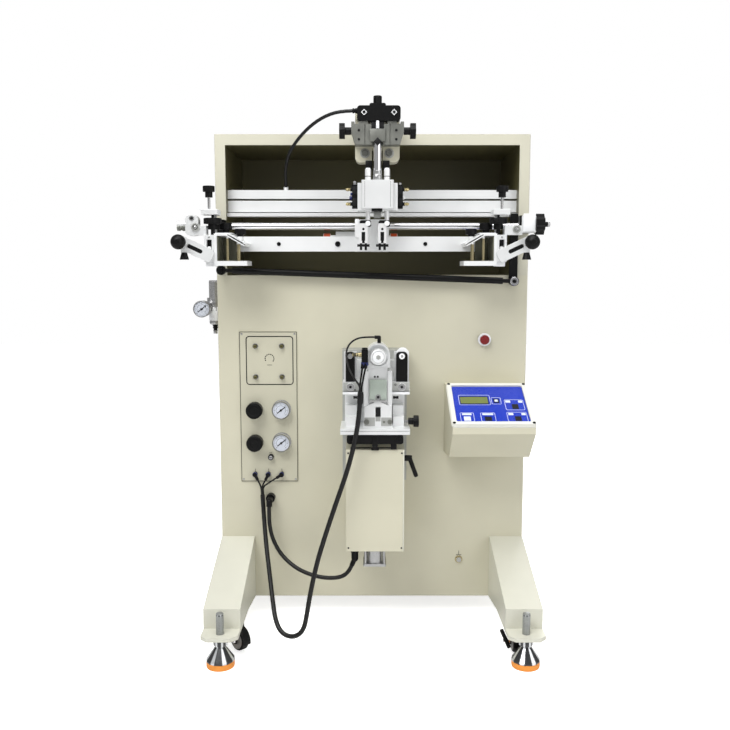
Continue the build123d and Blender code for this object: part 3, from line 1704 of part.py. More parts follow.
# Sloped console with its rimmed lid and membrane panel
lid_run = console_front_out - console_top_out
lid_drop = console_back_height - console_lip_height
lid_length = sqrt(lid_run**2 + lid_drop**2)
lid_plane = Plane(
    origin=(
        console_x,
        y_at((console_front_out + console_top_out) / 2),
        (console_back_height + console_lip_height) / 2,
    ),
    x_dir=(1, 0, 0),
    z_dir=(0, -lid_drop, lid_run),
)
with BuildPart() as console_housing:
    with BuildSketch(Plane.YZ.offset(console_x - console_width / 2 + console_side_inset)):
        with BuildLine():
            Polyline(
                (y_at(0), console_base_height),
                (y_at(0), console_back_height),
                (y_at(console_top_out), console_back_height),
                (y_at(console_front_out), console_lip_height),
                (y_at(console_front_out), console_lip_height - console_nose_height),
                (y_at(console_under_out), console_base_height + console_under_rise),
                close=True,
            )
        make_face()
    extrude(amount=console_width - 2 * console_side_inset)
save(console_housing.part, "console_housing")

window_width = console_width - 2 * lid_border
window_length = lid_length - 2 * lid_border
with BuildPart() as console_lid:
    with BuildSketch(lid_plane):
        RectangleRounded(console_width, lid_length, lid_corner)
    extrude(amount=lid_lip_thickness)
    with BuildSketch(lid_plane):
        RectangleRounded(
            console_width - 2 * lid_frame_inset,
            lid_length - 2 * lid_frame_inset,
            lid_corner - lid_frame_inset,
        )
    extrude(amount=lid_frame_thickness)
    with BuildSketch(lid_plane.offset(lid_frame_thickness)):
        RectangleRounded(window_width, window_length, lid_window_corner)
    extrude(amount=-lid_recess, mode=Mode.SUBTRACT)
save(console_lid.part, "console_lid")

with BuildPart() as membrane_panel:
    with BuildSketch(lid_plane.offset(lid_frame_thickness - lid_recess)):
        RectangleRounded(window_width - 2 * membrane_gap, window_length - 2 * membrane_gap, lid_window_corner)
    extrude(amount=membrane_thickness)
save(membrane_panel.part, "membrane_panel")

# Push-button in its bezel
with BuildPart() as button_bezel:
    with Locations(facing(button_x, button_height, 0)):
        Cylinder(button_bezel_radius, button_bezel_depth, align=seated)
    with Locations(facing(button_x, button_height, button_bezel_floor)):
        Cylinder(button_radius + button_gap, button_bezel_depth, align=seated, mode=Mode.SUBTRACT)
save(button_bezel.part, "button_bezel")

with BuildPart() as push_button:
    with Locations(facing(button_x, button_height, button_bezel_floor + button_travel + button_gap)):
        Cylinder(button_radius, button_length - button_travel, align=seated)
    fillet(push_button.edges().group_by(Axis.Y)[0], radius=button_edge)
save(push_button.part, "push_button")

# Hose ends of the column hose: elbow on the front plate, swivel joint under the cover
elbow_plane = Plane(column_route[-1], z_dir=run_direction(column_route, -2, -1))
elbow_bend = column_route[-1] + elbow_plane.z_dir * grommet_outlet_length
joint = column_route[0] - run_direction(column_route, 0, 1) * connector_reach
with BuildPart() as hose_grommet:
    with Locations(facing(elbow_bend.X, elbow_bend.Z, 0)):
        Cylinder(grommet_radius, grommet_depth, align=seated)
        Cylinder(grommet_outlet_radius, -half_depth - elbow_bend.Y, align=seated)
    with Locations((elbow_bend.X, elbow_bend.Y, elbow_bend.Z)):
        Sphere(grommet_outlet_radius)
    add(build_stub(column_route[-1], elbow_plane.z_dir, grommet_outlet_radius, grommet_outlet_length))
    joint_axis = (joint - column_route[0]).normalized()
    add(build_stub(column_route[0], joint_axis, connector_bottom_radius, connector_reach))
    with Locations((joint.X, joint.Y, joint.Z)):
        Sphere(connector_top_radius)
        Cylinder(connector_top_radius, column_cover_bottom - joint.Z, align=seated)
    with BuildSketch(Plane.XY.offset(column_cover_bottom - connector_nut_height - connector_nut_drop)):
        with Locations((joint.X, joint.Y)):
            RegularPolygon(connector_nut_radius, 6)
    extrude(amount=connector_nut_height)
save(hose_grommet.part, "hose_grommet")

# Filter regulator and its gauge on the left wall
collar_top = regulator_collar_bottom + regulator_collar_height
with BuildPart() as filter_regulator:
    with Locations((regulator_x, regulator_y, regulator_bottom)):
        Cylinder(regulator_radius, regulator_cap_top - regulator_bottom - regulator_cap_chamfer, align=seated)
    fillet(filter_regulator.edges().group_by(Axis.Z)[0], radius=regulator_bowl_edge)
    with Locations((regulator_x, regulator_y, regulator_collar_bottom)):
        Cylinder(regulator_collar_radius, regulator_collar_height, align=seated)
    with BuildSketch(Plane.XY.offset(collar_top)):
        with Locations((regulator_x, regulator_y)):
            RectangleRounded(regulator_cap_width, regulator_cap_width, regulator_cap_chamfer)
    extrude(amount=regulator_cap_top - collar_top)
    with BuildSketch(Plane.XY.offset(regulator_collar_bottom)):
        with Locations(((regulator_x - half_width) / 2, regulator_y)):
            Rectangle(-half_width - regulator_x, regulator_arm_depth)
    extrude(amount=regulator_collar_height)
    with BuildSketch(Plane.XZ.offset(-regulator_y)):
        with Locations(((side_gauge_x + regulator_x) / 2, side_gauge_height)):
            Rectangle(regulator_x - side_gauge_x + side_gauge_stem, side_gauge_stem)
    extrude(amount=regulator_radius)
    with BuildSketch(Plane.XZ.offset(-regulator_y + regulator_radius)):
        with Locations((side_gauge_x, side_gauge_height)):
            Circle(side_gauge_radius)
    extrude(amount=side_gauge_depth)
save(filter_regulator.part, "filter_regulator")
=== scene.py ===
import math

import bmesh
import bpy
from mathutils import Matrix, Vector


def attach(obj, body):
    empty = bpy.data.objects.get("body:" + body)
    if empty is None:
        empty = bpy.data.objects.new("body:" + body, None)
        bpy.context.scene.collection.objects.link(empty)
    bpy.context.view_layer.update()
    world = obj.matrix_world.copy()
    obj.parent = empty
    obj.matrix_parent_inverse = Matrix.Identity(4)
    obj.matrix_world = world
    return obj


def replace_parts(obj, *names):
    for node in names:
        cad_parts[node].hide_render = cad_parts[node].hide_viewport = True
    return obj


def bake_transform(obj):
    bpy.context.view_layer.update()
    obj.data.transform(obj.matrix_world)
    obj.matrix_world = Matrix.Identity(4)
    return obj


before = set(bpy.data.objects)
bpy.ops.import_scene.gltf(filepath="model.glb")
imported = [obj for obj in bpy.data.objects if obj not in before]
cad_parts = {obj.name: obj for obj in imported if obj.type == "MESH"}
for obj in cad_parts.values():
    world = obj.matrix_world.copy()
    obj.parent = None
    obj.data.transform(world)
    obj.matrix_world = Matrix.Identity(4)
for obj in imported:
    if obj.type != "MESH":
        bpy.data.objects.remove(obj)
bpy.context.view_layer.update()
scene = bpy.context.scene
plateY = -0.155  # front face of the cabinet
legX = 321.5  # middle of the legs and feet, on either side
footOut = 272  # how far the feet stand in front of the cabinet
# the hood's cavity; its inside faces are given a dark olive colour, a painted shade
hoodCavityShadeBox = ((-0.3372, -0.1547, 0.8155), (0.3372, 0.1178, 1.1122))  # the hood's cavity


def mm(x, out, z):
    # a place given as x, distance in front of the cabinet and height, in mm
    return Vector((x / 1000, plateY - out / 1000, z / 1000))


def linked(tree, a, b):
    tree.links.new(a, b)


def mathOf(tree, operation, a, b=None):
    node = tree.nodes.new("ShaderNodeMath")
    node.operation = operation
    for socket, value in zip(node.inputs, (a, b)):
        if isinstance(value, (int, float)):
            socket.default_value = value
        elif value is not None:
            linked(tree, value, socket)
    return node.outputs[0]


def newFinish(name):
    mat = bpy.data.materials.new(name)
    mat.use_nodes = True
    tree = mat.node_tree
    shader = tree.nodes["Principled BSDF"]
    place = tree.nodes.new("ShaderNodeTexCoord")
    return mat, tree, shader, place


def toLinear(color):
    return tuple(c / 12.92 if c <= 0.04045 else ((c + 0.055) / 1.055) ** 2.4 for c in color) + (1,)


def noiseOf(tree, place, scale, detail=3, stretch=None):
    noise = tree.nodes.new("ShaderNodeTexNoise")
    noise.inputs["Scale"].default_value = scale
    noise.inputs["Detail"].default_value = detail
    if stretch:
        mapping = tree.nodes.new("ShaderNodeMapping")
        mapping.inputs["Scale"].default_value = stretch
        linked(tree, place.outputs["Object"], mapping.inputs["Vector"])
        linked(tree, mapping.outputs["Vector"], noise.inputs["Vector"])
    else:
        linked(tree, place.outputs["Object"], noise.inputs["Vector"])
    return noise.outputs["Fac"]


def ramped(tree, value, low, high, fromLow=0.35, fromHigh=0.65):
    ramp = tree.nodes.new("ShaderNodeMapRange")
    ramp.inputs["From Min"].default_value = fromLow
    ramp.inputs["From Max"].default_value = fromHigh
    ramp.inputs["To Min"].default_value = low
    ramp.inputs["To Max"].default_value = high
    linked(tree, value, ramp.inputs["Value"])
    return ramp.outputs["Result"]


def mixedColor(tree, factor, a, b):
    mix = tree.nodes.new("ShaderNodeMix")
    mix.data_type = "RGBA"
    linked(tree, factor, mix.inputs["Factor"])
    for socket, color in ((mix.inputs[6], a), (mix.inputs[7], b)):
        if isinstance(color, tuple):
            socket.default_value = color
        else:
            linked(tree, color, socket)
    return mix.outputs[2]


def shaded(color, factor):
    return tuple(c * factor for c in color[:3]) + (1,)


def roundedNormal(tree, radius):
    # softens the sharp edges of a carried-over part
    bevel = tree.nodes.new("ShaderNodeBevel")
    bevel.samples = 3
    bevel.inputs["Radius"].default_value = radius
    return bevel.outputs["Normal"]


def bumped(tree, shader, height, strength, distance, edge=0.0):
    bump = tree.nodes.new("ShaderNodeBump")
    bump.inputs["Strength"].default_value = strength
    bump.inputs["Distance"].default_value = distance
    linked(tree, height, bump.inputs["Height"])
    if edge:
        linked(tree, roundedNormal(tree, edge), bump.inputs["Normal"])
    linked(tree, bump.outputs["Normal"], shader.inputs["Normal"])


def plainFinish(
    name, color, rough=(0.4, 0.5), metallic=0.0, cloud=(6, 0.94), grain=(900, 0.15, 0.0002),
    stretch=None, coat=0.0, edge=0.0, spots=(), gloss=0.5,
):
    # spots are boxes of the row frame, in mm, that have another colour
    mat, tree, shader, place = newFinish(name)
    base = toLinear(color)
    shader.inputs["Metallic"].default_value = metallic
    shader.inputs["Coat Weight"].default_value = coat
    shader.inputs["Coat Roughness"].default_value = 0.15
    shader.inputs["Specular IOR Level"].default_value = gloss
    big = noiseOf(tree, place, cloud[0])
    paint = mixedColor(tree, ramped(tree, big, 0, 1), shaded(base, cloud[1]), base)
    for low, high, other in spots:
        corners = [mm(*low), mm(*high)]
        lowest = [min(c[i] for c in corners) for i in range(3)]
        highest = [max(c[i] for c in corners) for i in range(3)]
        paint = mixedColor(tree, insideMask(tree, place, lowest, highest), paint, toLinear(other))
    linked(tree, paint, shader.inputs["Base Color"])
    fine = noiseOf(tree, place, grain[0], 2, stretch)
    linked(tree, ramped(tree, fine, rough[0], rough[1]), shader.inputs["Roughness"])
    bumped(tree, shader, fine, grain[1], grain[2], edge)
    return mat


def paintedReflectionChrome(name, reflectionLight, reflectionDark, middle, bands):
    # chrome whose base colour is painted in bright and dark bands round an upright axis, a painted reflection
    # of its facets, for each of the mirrored feet
    mat, tree, shader, place = newFinish(name)
    parts = tree.nodes.new("ShaderNodeSeparateXYZ")
    linked(tree, place.outputs["Object"], parts.inputs["Vector"])
    across, along = (
        mathOf(tree, "SUBTRACT", mathOf(tree, "ABSOLUTE", parts.outputs[axis]), centre)
        for axis, centre in zip("XY", middle)
    )
    angle = mathOf(tree, "ARCTAN2", along, across)
    wave = mathOf(tree, "SINE", mathOf(tree, "MULTIPLY", angle, bands))
    paint = mixedColor(tree, ramped(tree, wave, 0, 1), toLinear(reflectionDark), toLinear(reflectionLight))
    linked(tree, paint, shader.inputs["Base Color"])
    shader.inputs["Metallic"].default_value = 0.6
    fine = noiseOf(tree, place, 300, 2)
    linked(tree, ramped(tree, fine, 0.12, 0.22), shader.inputs["Roughness"])
    bumped(tree, shader, fine, 0.08, 0.0001)
    return mat


def insideMask(tree, place, low, high):
    # 1 inside a box of the row frame, 0 outside
    parts = tree.nodes.new("ShaderNodeSeparateXYZ")
    linked(tree, place.outputs["Object"], parts.inputs["Vector"])
    result = 1.0
    for axis, a, b in zip("XYZ", low, high):
        for limit, kind in ((a, "GREATER_THAN"), (b, "LESS_THAN")):
            result = mathOf(tree, "MULTIPLY", result, mathOf(tree, kind, parts.outputs[axis], limit))
    return result


def hoodFinish(name, outside, inside):
    mat, tree, shader, place = newFinish(name)
    cream = toLinear(outside)
    cloud = mixedColor(tree, ramped(tree, noiseOf(tree, place, 5), 0, 1), shaded(cream, 0.95), cream)
    # the cavity's faces take the dark inside colour: painted shade
    cavityShadeMask = insideMask(tree, place, *hoodCavityShadeBox)
    linked(tree, mixedColor(tree, cavityShadeMask, cloud, toLinear(inside)), shader.inputs["Base Color"])
    fine = noiseOf(tree, place, 900, 2)
    linked(tree, ramped(tree, fine, 0.36, 0.46), shader.inputs["Roughness"])
    bumped(tree, shader, fine, 0.12, 0.0002, 0.0012)
    return mat


# dark bands and strips on the holders' aluminium
holderDarkColor = (0.03, 0.03, 0.032)
holderDarkPatches = [
    ((-60, 90, 929.3), (60, 130, 936.4), holderDarkColor), ((-60, 90, 860), (60, 130, 886.6), holderDarkColor),
    ((-11.2, 90, 902), (3, 130, 936.4), holderDarkColor), ((29.8, 90, 902), (45, 130, 936.4), holderDarkColor),
]
footMiddle = (legX / 1000, footOut / 1000 - plateY)
finishes = {
    "cream": plainFinish(
        "creamPaint", (0.800, 0.786, 0.702), (0.36, 0.46), grain=(900, 0.12, 0.0002), edge=0.0012,
    ),
    # the hood's second colour is painted shade for its cavity
    "hood": hoodFinish("hoodPaint", (0.785, 0.775, 0.705), (0.33, 0.315, 0.205)),
    "leg": plainFinish(
        "legPaint", (0.835, 0.832, 0.777), (0.32, 0.42), grain=(700, 0.15, 0.0002), edge=0.0012,
    ),
    "lid": plainFinish(
        "lidPaint", (0.90, 0.898, 0.865), (0.3, 0.4), grain=(1100, 0.12, 0.0002), edge=0.0012,
    ),
    "panelPaint": plainFinish(
        "panelPaint", (0.770, 0.758, 0.676), (0.38, 0.48), grain=(1100, 0.12, 0.0002),
    ),
    "aluminium": plainFinish(
        "milledAluminium", (0.925, 0.93, 0.93), (0.28, 0.40), 0.42, (14, 0.94), (40, 0.12, 0.0001),
        (4, 4, 60), edge=0.0007,
    ),
    "aluminiumX": plainFinish(
        "drawnAluminium", (0.94, 0.945, 0.945), (0.30, 0.42), 0.32, (9, 0.95), (40, 0.12, 0.0001),
        (2, 40, 60), edge=0.0007,
    ),
    "holder": plainFinish(
        "holderAluminium", (0.93, 0.93, 0.93), (0.28, 0.4), 0.35, (14, 0.95), (40, 0.12, 0.0001),
        (4, 4, 60), edge=0.0005, spots=holderDarkPatches,
    ),
    "cast": plainFinish(
        "castGrey", (0.70, 0.705, 0.69), (0.42, 0.58), 0.45, (25, 0.86), (500, 0.4, 0.0004), edge=0.0008,
    ),
    "headCast": plainFinish(
        "headCasting", (0.50, 0.505, 0.48), (0.40, 0.55), 0.45, (30, 0.72), (400, 0.4, 0.0004), edge=0.0009,
    ),
    # painted shade for the clamp channels' inner walls and lower faces
    "shade": plainFinish(
        "channelShade", (0.43, 0.43, 0.37), (0.4, 0.55), 0.2, (20, 0.85), (40, 0.2, 0.0001), (2, 40, 60),
    ),
    "bronze": plainFinish("postBronze", (0.60, 0.56, 0.43), (0.25, 0.35), 0.7, (40, 0.8)),
    # the feet and their collars carry painted reflection bands
    "footChrome": paintedReflectionChrome("footChrome", (0.88, 0.89, 0.90), (0.27, 0.275, 0.28), footMiddle, 7),
    "studSteel": plainFinish("studSteel", (0.60, 0.61, 0.60), (0.34, 0.46), 0.5, (60, 0.85)),
    "chrome": plainFinish(
        "chromePlate", (0.90, 0.90, 0.91), (0.06, 0.14), 1.0, (14, 0.94), (300, 0.05, 0.0001),
    ),
    "steel": plainFinish(
        "turnedSteel", (0.72, 0.72, 0.72), (0.22, 0.36), 0.9, (30, 0.88), (80, 0.2, 0.0001), (60, 60, 4),
        edge=0.0004,
    ),
    "blackPlastic": plainFinish(
        "blackPlastic", (0.012, 0.012, 0.014), (0.36, 0.5), grain=(1400, 0.3, 0.0002), edge=0.0007,
        gloss=0.22,
    ),
    "blackPaint": plainFinish(
        "blackPaint", (0.018, 0.018, 0.018), (0.3, 0.44), grain=(800, 0.25, 0.0002), edge=0.0008,
        gloss=0.22,
    ),
    "blackHose": plainFinish(
        "hoseRubber", (0.018, 0.018, 0.02), (0.36, 0.5), grain=(600, 0.3, 0.0002), gloss=0.35,
    ),
    "braid": plainFinish(
        "hoseBraid", (0.03, 0.03, 0.033), (0.36, 0.55), cloud=(120, 0.5), grain=(700, 0.5, 0.0003),
        gloss=0.4,
    ),
    "wheelRubber": plainFinish(
        "wheelRubber", (0.04, 0.038, 0.038), (0.42, 0.56), grain=(500, 0.4, 0.0003), gloss=0.35,
    ),
    "orange": plainFinish("orangePad", (0.94, 0.60, 0.24), (0.5, 0.62), grain=(400, 0.4, 0.0003)),
    "buffer": plainFinish(
        "bufferOrange", (0.78, 0.30, 0.10), (0.4, 0.5), cloud=(90, 0.85), grain=(500, 0.3, 0.0003),
    ),
    "blue": plainFinish(
        "blueMembrane", (0.045, 0.20, 0.72), (0.24, 0.32), cloud=(10, 0.93), grain=(1500, 0.1, 0.0001),
        coat=0.3,
    ),
    "white": plainFinish("brightWhite", (0.93, 0.935, 0.94), (0.3, 0.38), cloud=(20, 0.97)),
    "dial": plainFinish("dialWhite", (0.80, 0.82, 0.86), (0.2, 0.28), cloud=(60, 0.95), coat=0.5),
    "red": plainFinish("buttonRed", (0.48, 0.02, 0.05), (0.25, 0.35), cloud=(60, 0.85), coat=0.5),
    "brass": plainFinish("turnedBrass", (0.74, 0.69, 0.52), (0.2, 0.32), 0.8, (30, 0.85)),
    "greenStud": plainFinish("oliveBrass", (0.50, 0.48, 0.33), (0.25, 0.4), 0.8, (60, 0.8)),
    # one dark colour for print and holes, and for the slabs in gaps, windows and slots that are painted shade
    "dark": plainFinish("darkInkAndShade", (0.05, 0.05, 0.055), (0.5, 0.6), cloud=(80, 0.9), gloss=0.3),
    "lcd": plainFinish("displayGreen", (0.44, 0.49, 0.25), (0.18, 0.25), cloud=(60, 0.92), coat=0.6),
    "keyWhite": plainFinish("keyWhite", (0.86, 0.89, 0.95), (0.3, 0.4), cloud=(60, 0.97)),
    "navy": plainFinish("collarNavy", (0.09, 0.14, 0.38), (0.3, 0.4), cloud=(80, 0.85)),
    "glassGrey": plainFinish(
        "greenGreyPlate", (0.66, 0.70, 0.66), (0.2, 0.3), 0.2, (20, 0.9), coat=0.4, edge=0.0006,
    ),
    "tread": plainFinish("wheelGrey", (0.62, 0.61, 0.60), (0.4, 0.5), cloud=(80, 0.9)),
}

nodesByFinish = {
    "cream": ["base_cabinet", "rear_cover", "head_arm", "column_cover", "console_housing"],
    "hood": ["hood"],
    "leg": ["legs"],
    "footChrome": ["levelling_feet"],
    "orange": ["foot_pads"],
    "steel": ["caster_plates", "lift_cylinder", "button_bezel", "filter_regulator"],
    "blackPaint": [
        "caster_fork_left", "caster_fork_right", "rear_casters", "shaft_supports", "rocker_arm", "tie_rod",
        "nest_arms", "guard_bar",
    ],
    "wheelRubber": ["caster_wheel_left", "caster_wheel_right"],
    "aluminiumX": ["print_rails", "carriage_bar", "clamp_channel_left", "clamp_channel_right"],
    "chrome": ["guide_shaft", "head_column", "pressure_gauges"],
    "headCast": ["head_slide"],
    "blackPlastic": [
        "sensor_plate", "head_knobs", "valve_blocks", "clamp_knobs_left", "clamp_knobs_right",
        "clamp_lever", "regulator_knobs", "panel_fittings", "hose_grommet", "nest_fittings",
    ],
    "aluminium": [
        "cylinder_block", "clamp_arm_left", "clamp_arm_right", "nest_table", "nest_base", "chuck_housing",
        "chuck",
    ],
    "holder": ["squeegee_holder", "flood_holder"],
    "cast": ["nest_guide_plate"],
    "panelPaint": ["pneumatic_panel"],
    "lid": ["console_lid"],
    "blue": ["membrane_panel"],
    "red": ["push_button"],
    "blackHose": ["main_hose", "column_hose", "head_hose", "nest_tubes", "panel_tubes"],
}
for finish, nodes in nodesByFinish.items():
    for node in nodes:
        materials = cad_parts[node].data.materials
        materials.clear()
        materials.append(finishes[finish])
print("finishes are on the", len(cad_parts), "carried-over nodes")


def meshOf(name, bm, smooth=35):
    # edges that bend by more than smooth degrees stay sharp
    mesh = bpy.data.meshes.new(name)
    bm.normal_update()
    limit = math.radians(smooth)
    for face in bm.faces:
        face.smooth = True
    for edge in bm.edges:
        if len(edge.link_faces) == 2 and edge.calc_face_angle() > limit:
            edge.smooth = False
    bm.to_mesh(mesh)
    bm.free()
    return mesh


ways = {"out": (0, -1, 0), "up": (0, 0, 1), "down": (0, 0, -1), "left": (-1, 0, 0), "right": (1, 0, 0)}


def formOf(kind, r, h):
    # (radius, height) pairs in mm of a common turned form
    forms = {
        "socket": [(r, 0), (r, h * 0.8), (r * 0.88, h), (r * 0.52, h), (r * 0.47, h * 0.3)],
        "round": [(r, 0), (r * 0.97, h * 0.4), (r * 0.76, h * 0.82), (r * 0.35, h)],
        "disc": [(r, 0), (r, h * 0.7), (r * 0.93, h)],
        "ring": [(r, 0), (r, h * 0.8), (r * 0.95, h), (r * 0.70, h), (r * 0.66, h * 0.3)],
        "nut": [(r, 0), (r, h * 0.82), (r * 0.9, h), (r * 0.5, h), (r * 0.5, h * 0.7)],
        "barb": [
            (r * 0.7, 0), (r * 0.7, h * 0.2), (r, h * 0.3), (r * 0.6, h * 0.55), (r, h * 0.62), (r * 0.55, h),
        ],
        "thread": [(r - (0.25 if i % 2 else 0), h * i / 24) for i in range(25)],
        "collar": [(r * 0.9, 0), (r, h * 0.15), (r, h * 0.85), (r * 0.9, h)],
        "dome": [(r, 0), (r, h * 0.5), (r * 0.86, h * 0.8), (r * 0.5, h * 0.96), (r * 0.2, h)],
        "rim": [(r, 0), (r, h * 0.8), (r * 0.97, h), (r * 0.91, h), (r * 0.89, h * 0.8), (r * 0.89, 0)],
        "hub": [(r, 0), (r, h * 0.35), (r * 0.8, h * 0.45), (r * 0.8, h * 0.6), (r, h * 0.7), (r * 0.9, h)],
    }
    return forms[kind]


def turned(bm, profile, origin, axis, steps=32, wave=None, hollow=False):
    # a closed lathe form about an axis, with its first corner toward the top; a hollow one is an open ring
    axis = Vector(axis).normalized()
    top = Vector((0, 0, 1)) if abs(axis.z) < 0.9 else Vector((0, -1, 0))
    across = (top - axis * top.dot(axis)).normalized()
    third = axis.cross(across)
    rings = []
    for radius, height in profile:
        ring = []
        for step in range(steps):
            angle = 2 * math.pi * step / steps
            r = radius * (1 + (wave(step, height) if wave else 0))
            spoke = across * math.cos(angle) + third * math.sin(angle)
            ring.append(bm.verts.new(Vector(origin) + (axis * height + spoke * r) / 1000))
        rings.append(ring)
    for a, b in zip(rings, rings[1:] + rings[:1] if hollow else rings[1:]):
        for i in range(steps):
            j = (i + 1) % steps
            bm.faces.new((a[i], a[j], b[j], b[i]))
    if not hollow:
        bm.faces.new(reversed(rings[0]))
        bm.faces.new(rings[-1])


def slab(bm, center, size, bevel, tilt=0.0):
    # a block with rounded edges, size in mm as width, depth and height, turned by tilt in the front view
    made = bmesh.ops.create_cube(bm, size=1)
    matrix = (
        Matrix.Translation(center)
        @ Matrix.Rotation(math.radians(tilt), 4, "Y")
        @ Matrix.Diagonal((size[0] / 1000, size[1] / 1000, size[2] / 1000, 1))
    )
    bmesh.ops.transform(bm, matrix=matrix, verts=made["verts"])
    edges = {e for v in made["verts"] for e in v.link_edges}
    if bevel:
        bmesh.ops.bevel(bm, geom=list(edges), offset=bevel / 1000, segments=2, affect="EDGES", profile=0.5)


def build(name, finish, maker, body="frame"):
    bm = bmesh.new()
    maker(bm)
    mesh = meshOf(name, bm)
    mesh.materials.append(finishes[finish])
    obj = bpy.data.objects.new(name, mesh)
    scene.collection.objects.link(obj)
    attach(obj, body)
    return obj


def trim(form, finish, spots, way="out", steps=32, body=None):
    # turned pieces, whose spots are x, out, z, radius and height
    return {"form": form, "finish": finish, "spots": spots, "way": way, "steps": steps, "body": body}


def bars(finish, blocks, bevel=0.5, tilt=0, body=None):
    # square pieces, whose blocks are x, out, z, width, depth and height
    return {"finish": finish, "blocks": blocks, "bevel": bevel, "tilt": tilt, "body": body}


def buildTurned(name, piece, body="frame"):
    kind = piece["form"]

    def maker(bm):
        for x, out, z, radius, height in piece["spots"]:
            form = formOf(kind, radius, height)
            turned(bm, form, mm(x, out, z), ways[piece["way"]], piece["steps"], hollow=kind == "rim")

    return build(name, piece["finish"], maker, piece["body"] or body)


def buildBlocks(name, piece, body="frame"):
    def maker(bm):
        for x, out, z, *size in piece["blocks"]:
            slab(bm, mm(x, out, z), size, piece["bevel"], piece["tilt"])

    return build(name, piece["finish"], maker, piece["body"] or body)


def buildAll(turnedOnes, blockOnes, body="frame"):
    for name, piece in turnedOnes.items():
        buildTurned(name, piece, body)
    for name, piece in blockOnes.items():
        buildBlocks(name, piece, body)


def knurled(name, body, items):
    # grip sleeves over turned knobs: x, out, z, way, radius, height, lobes and depth
    def maker(bm):
        for x, out, z, way, radius, height, lobes, depth in items:
            profile = [
                (radius * 0.93, 0), (radius, height * 0.1), (radius, height * 0.85),
                (radius * 0.95, height * 0.96), (radius * 0.86, height), (radius * 0.5, height),
                (radius * 0.46, height - 0.8),
            ]

            def wave(step, at, top=height * 0.9, low=height * 0.05, amount=depth):
                return -amount * (0.5 - 0.5 * math.cos(2 * math.pi * step / 6)) if low < at < top else 0

            turned(bm, profile, mm(x, out, z), ways[way], lobes * 6, wave)

    return build(name, "blackPlastic", maker, body)


def arcLoop(radius, start, end, steps=16):
    angles = [math.radians(start + (end - start) * i / steps) for i in range(steps + 1)]
    return [(radius * math.cos(angle), radius * math.sin(angle)) for angle in angles]


def shifted(loop, x, y):
    return [(x + u, y + v) for u, v in loop]


def roundedLoop(width, height, corner, steps=5):
    loop = []
    for across, along, start in ((1, 1, 0), (-1, 1, 90), (-1, -1, 180), (1, -1, 270)):
        x = across * (width / 2 - corner)
        y = along * (height / 2 - corner)
        loop += shifted(arcLoop(corner, start, start + 90, steps), x, y)
    return loop


def solidBetween(bm, place, outer, inner, low, high, closed=True):
    # a raised line between two loops of the same number of points
    levels = ((outer, low), (outer, high), (inner, high), (inner, low))
    rows = [[bm.verts.new(place(u, v, h)) for u, v in loop] for loop, h in levels]
    count = len(outer)
    for a in range(4):
        one, two = rows[a], rows[(a + 1) % 4]
        for i in range(count if closed else count - 1):
            j = (i + 1) % count
            bm.faces.new((one[i], one[j], two[j], two[i]))
    if not closed:
        for i in (0, count - 1):
            bm.faces.new([row[i] for row in rows])


def outline(bm, place, cx, cy, width, height, corner, line, low, high):
    outer = shifted(roundedLoop(width, height, corner), cx, cy)
    inner = roundedLoop(width - 2 * line, height - 2 * line, max(corner - line, 0.05))
    solidBetween(bm, place, outer, shifted(inner, cx, cy), low, high)


def plate(bm, place, cx, cy, width, height, corner, low, high):
    loop = shifted(roundedLoop(width, height, corner), cx, cy)
    bottom = [bm.verts.new(place(u, v, low)) for u, v in loop]
    top = [bm.verts.new(place(u, v, high)) for u, v in loop]
    for i in range(len(loop)):
        j = (i + 1) % len(loop)
        bm.faces.new((bottom[i], bottom[j], top[j], top[i]))
    bm.faces.new(top)
    bm.faces.new(list(reversed(bottom)))


def onWall(out):
    # places on an upright face at a distance in front of the cabinet, as x, z and rise
    return lambda u, v, rise: mm(u, out + rise, v)


# the print head
headTurned = {
    "headNuts": trim("ring", "white", [
        (-19, 121.8, 1162.5, 6.6, 3.2), (45, 121.8, 1162.5, 6.6, 3.2),
    ], steps=4),
    "headNutHoles": trim("socket", "dark", [(-19, 121.8, 1162.5, 3.2, 3.4), (45, 121.8, 1162.5, 3.2, 3.4)]),
    "headBolts": trim("nut", "headCast", [(-17, 84.8, 1082, 8, 6), (36, 84.8, 1082, 8, 6)], steps=6),
    "headBoltWashers": trim("disc", "cast", [(-17, 84.6, 1082, 10.5, 1.4), (36, 84.6, 1082, 10.5, 1.4)]),
    "slideScrews": trim("socket", "dark", [
        (x, 117.6, z, 2.6, 1.6) for x in (-30, 50) for z in (1107, 1126)
    ]),
    "headPin": trim("disc", "white", [(10, 121, 1129, 3.6, 16)], way="up"),
    "columnCollar": trim("collar", "steel", [
        (10, 110, 1020.2, 10.4, 13), (10, 110, 1033.4, 9.7, 9),
    ], way="up"),
    "brassBarbsLeft": trim("barb", "brass", [
        (-44.8, 102, z, 4.3, 14) for z in (971.5, 1002.5)
    ], way="left"),
    "brassBarbsRight": trim("barb", "brass", [
        (64.8, 102, z, 4.3, 14) for z in (971.5, 1002.5)
    ], way="right"),
    "valveAdjusters": trim("hub", "steel", [
        (-39.5, 102, 1011.8, 3.6, 8), (59.5, 102, 1011.8, 3.2, 5),
    ], way="up"),
    "valveElbows": trim("collar", "navy", [
        (-44.8, 104, 984, 4.4, 6), (-44.8, 104, 992.5, 3.4, 4),
    ], way="left"),
    "valveWhiteCap": trim("round", "white", [(64.8, 104, 985, 4.2, 5)], way="right"),
    "hoseNutHead": trim("hub", "blackPlastic", [(-33.8, 108, 1168, 5.6, 10)], way="left"),
}
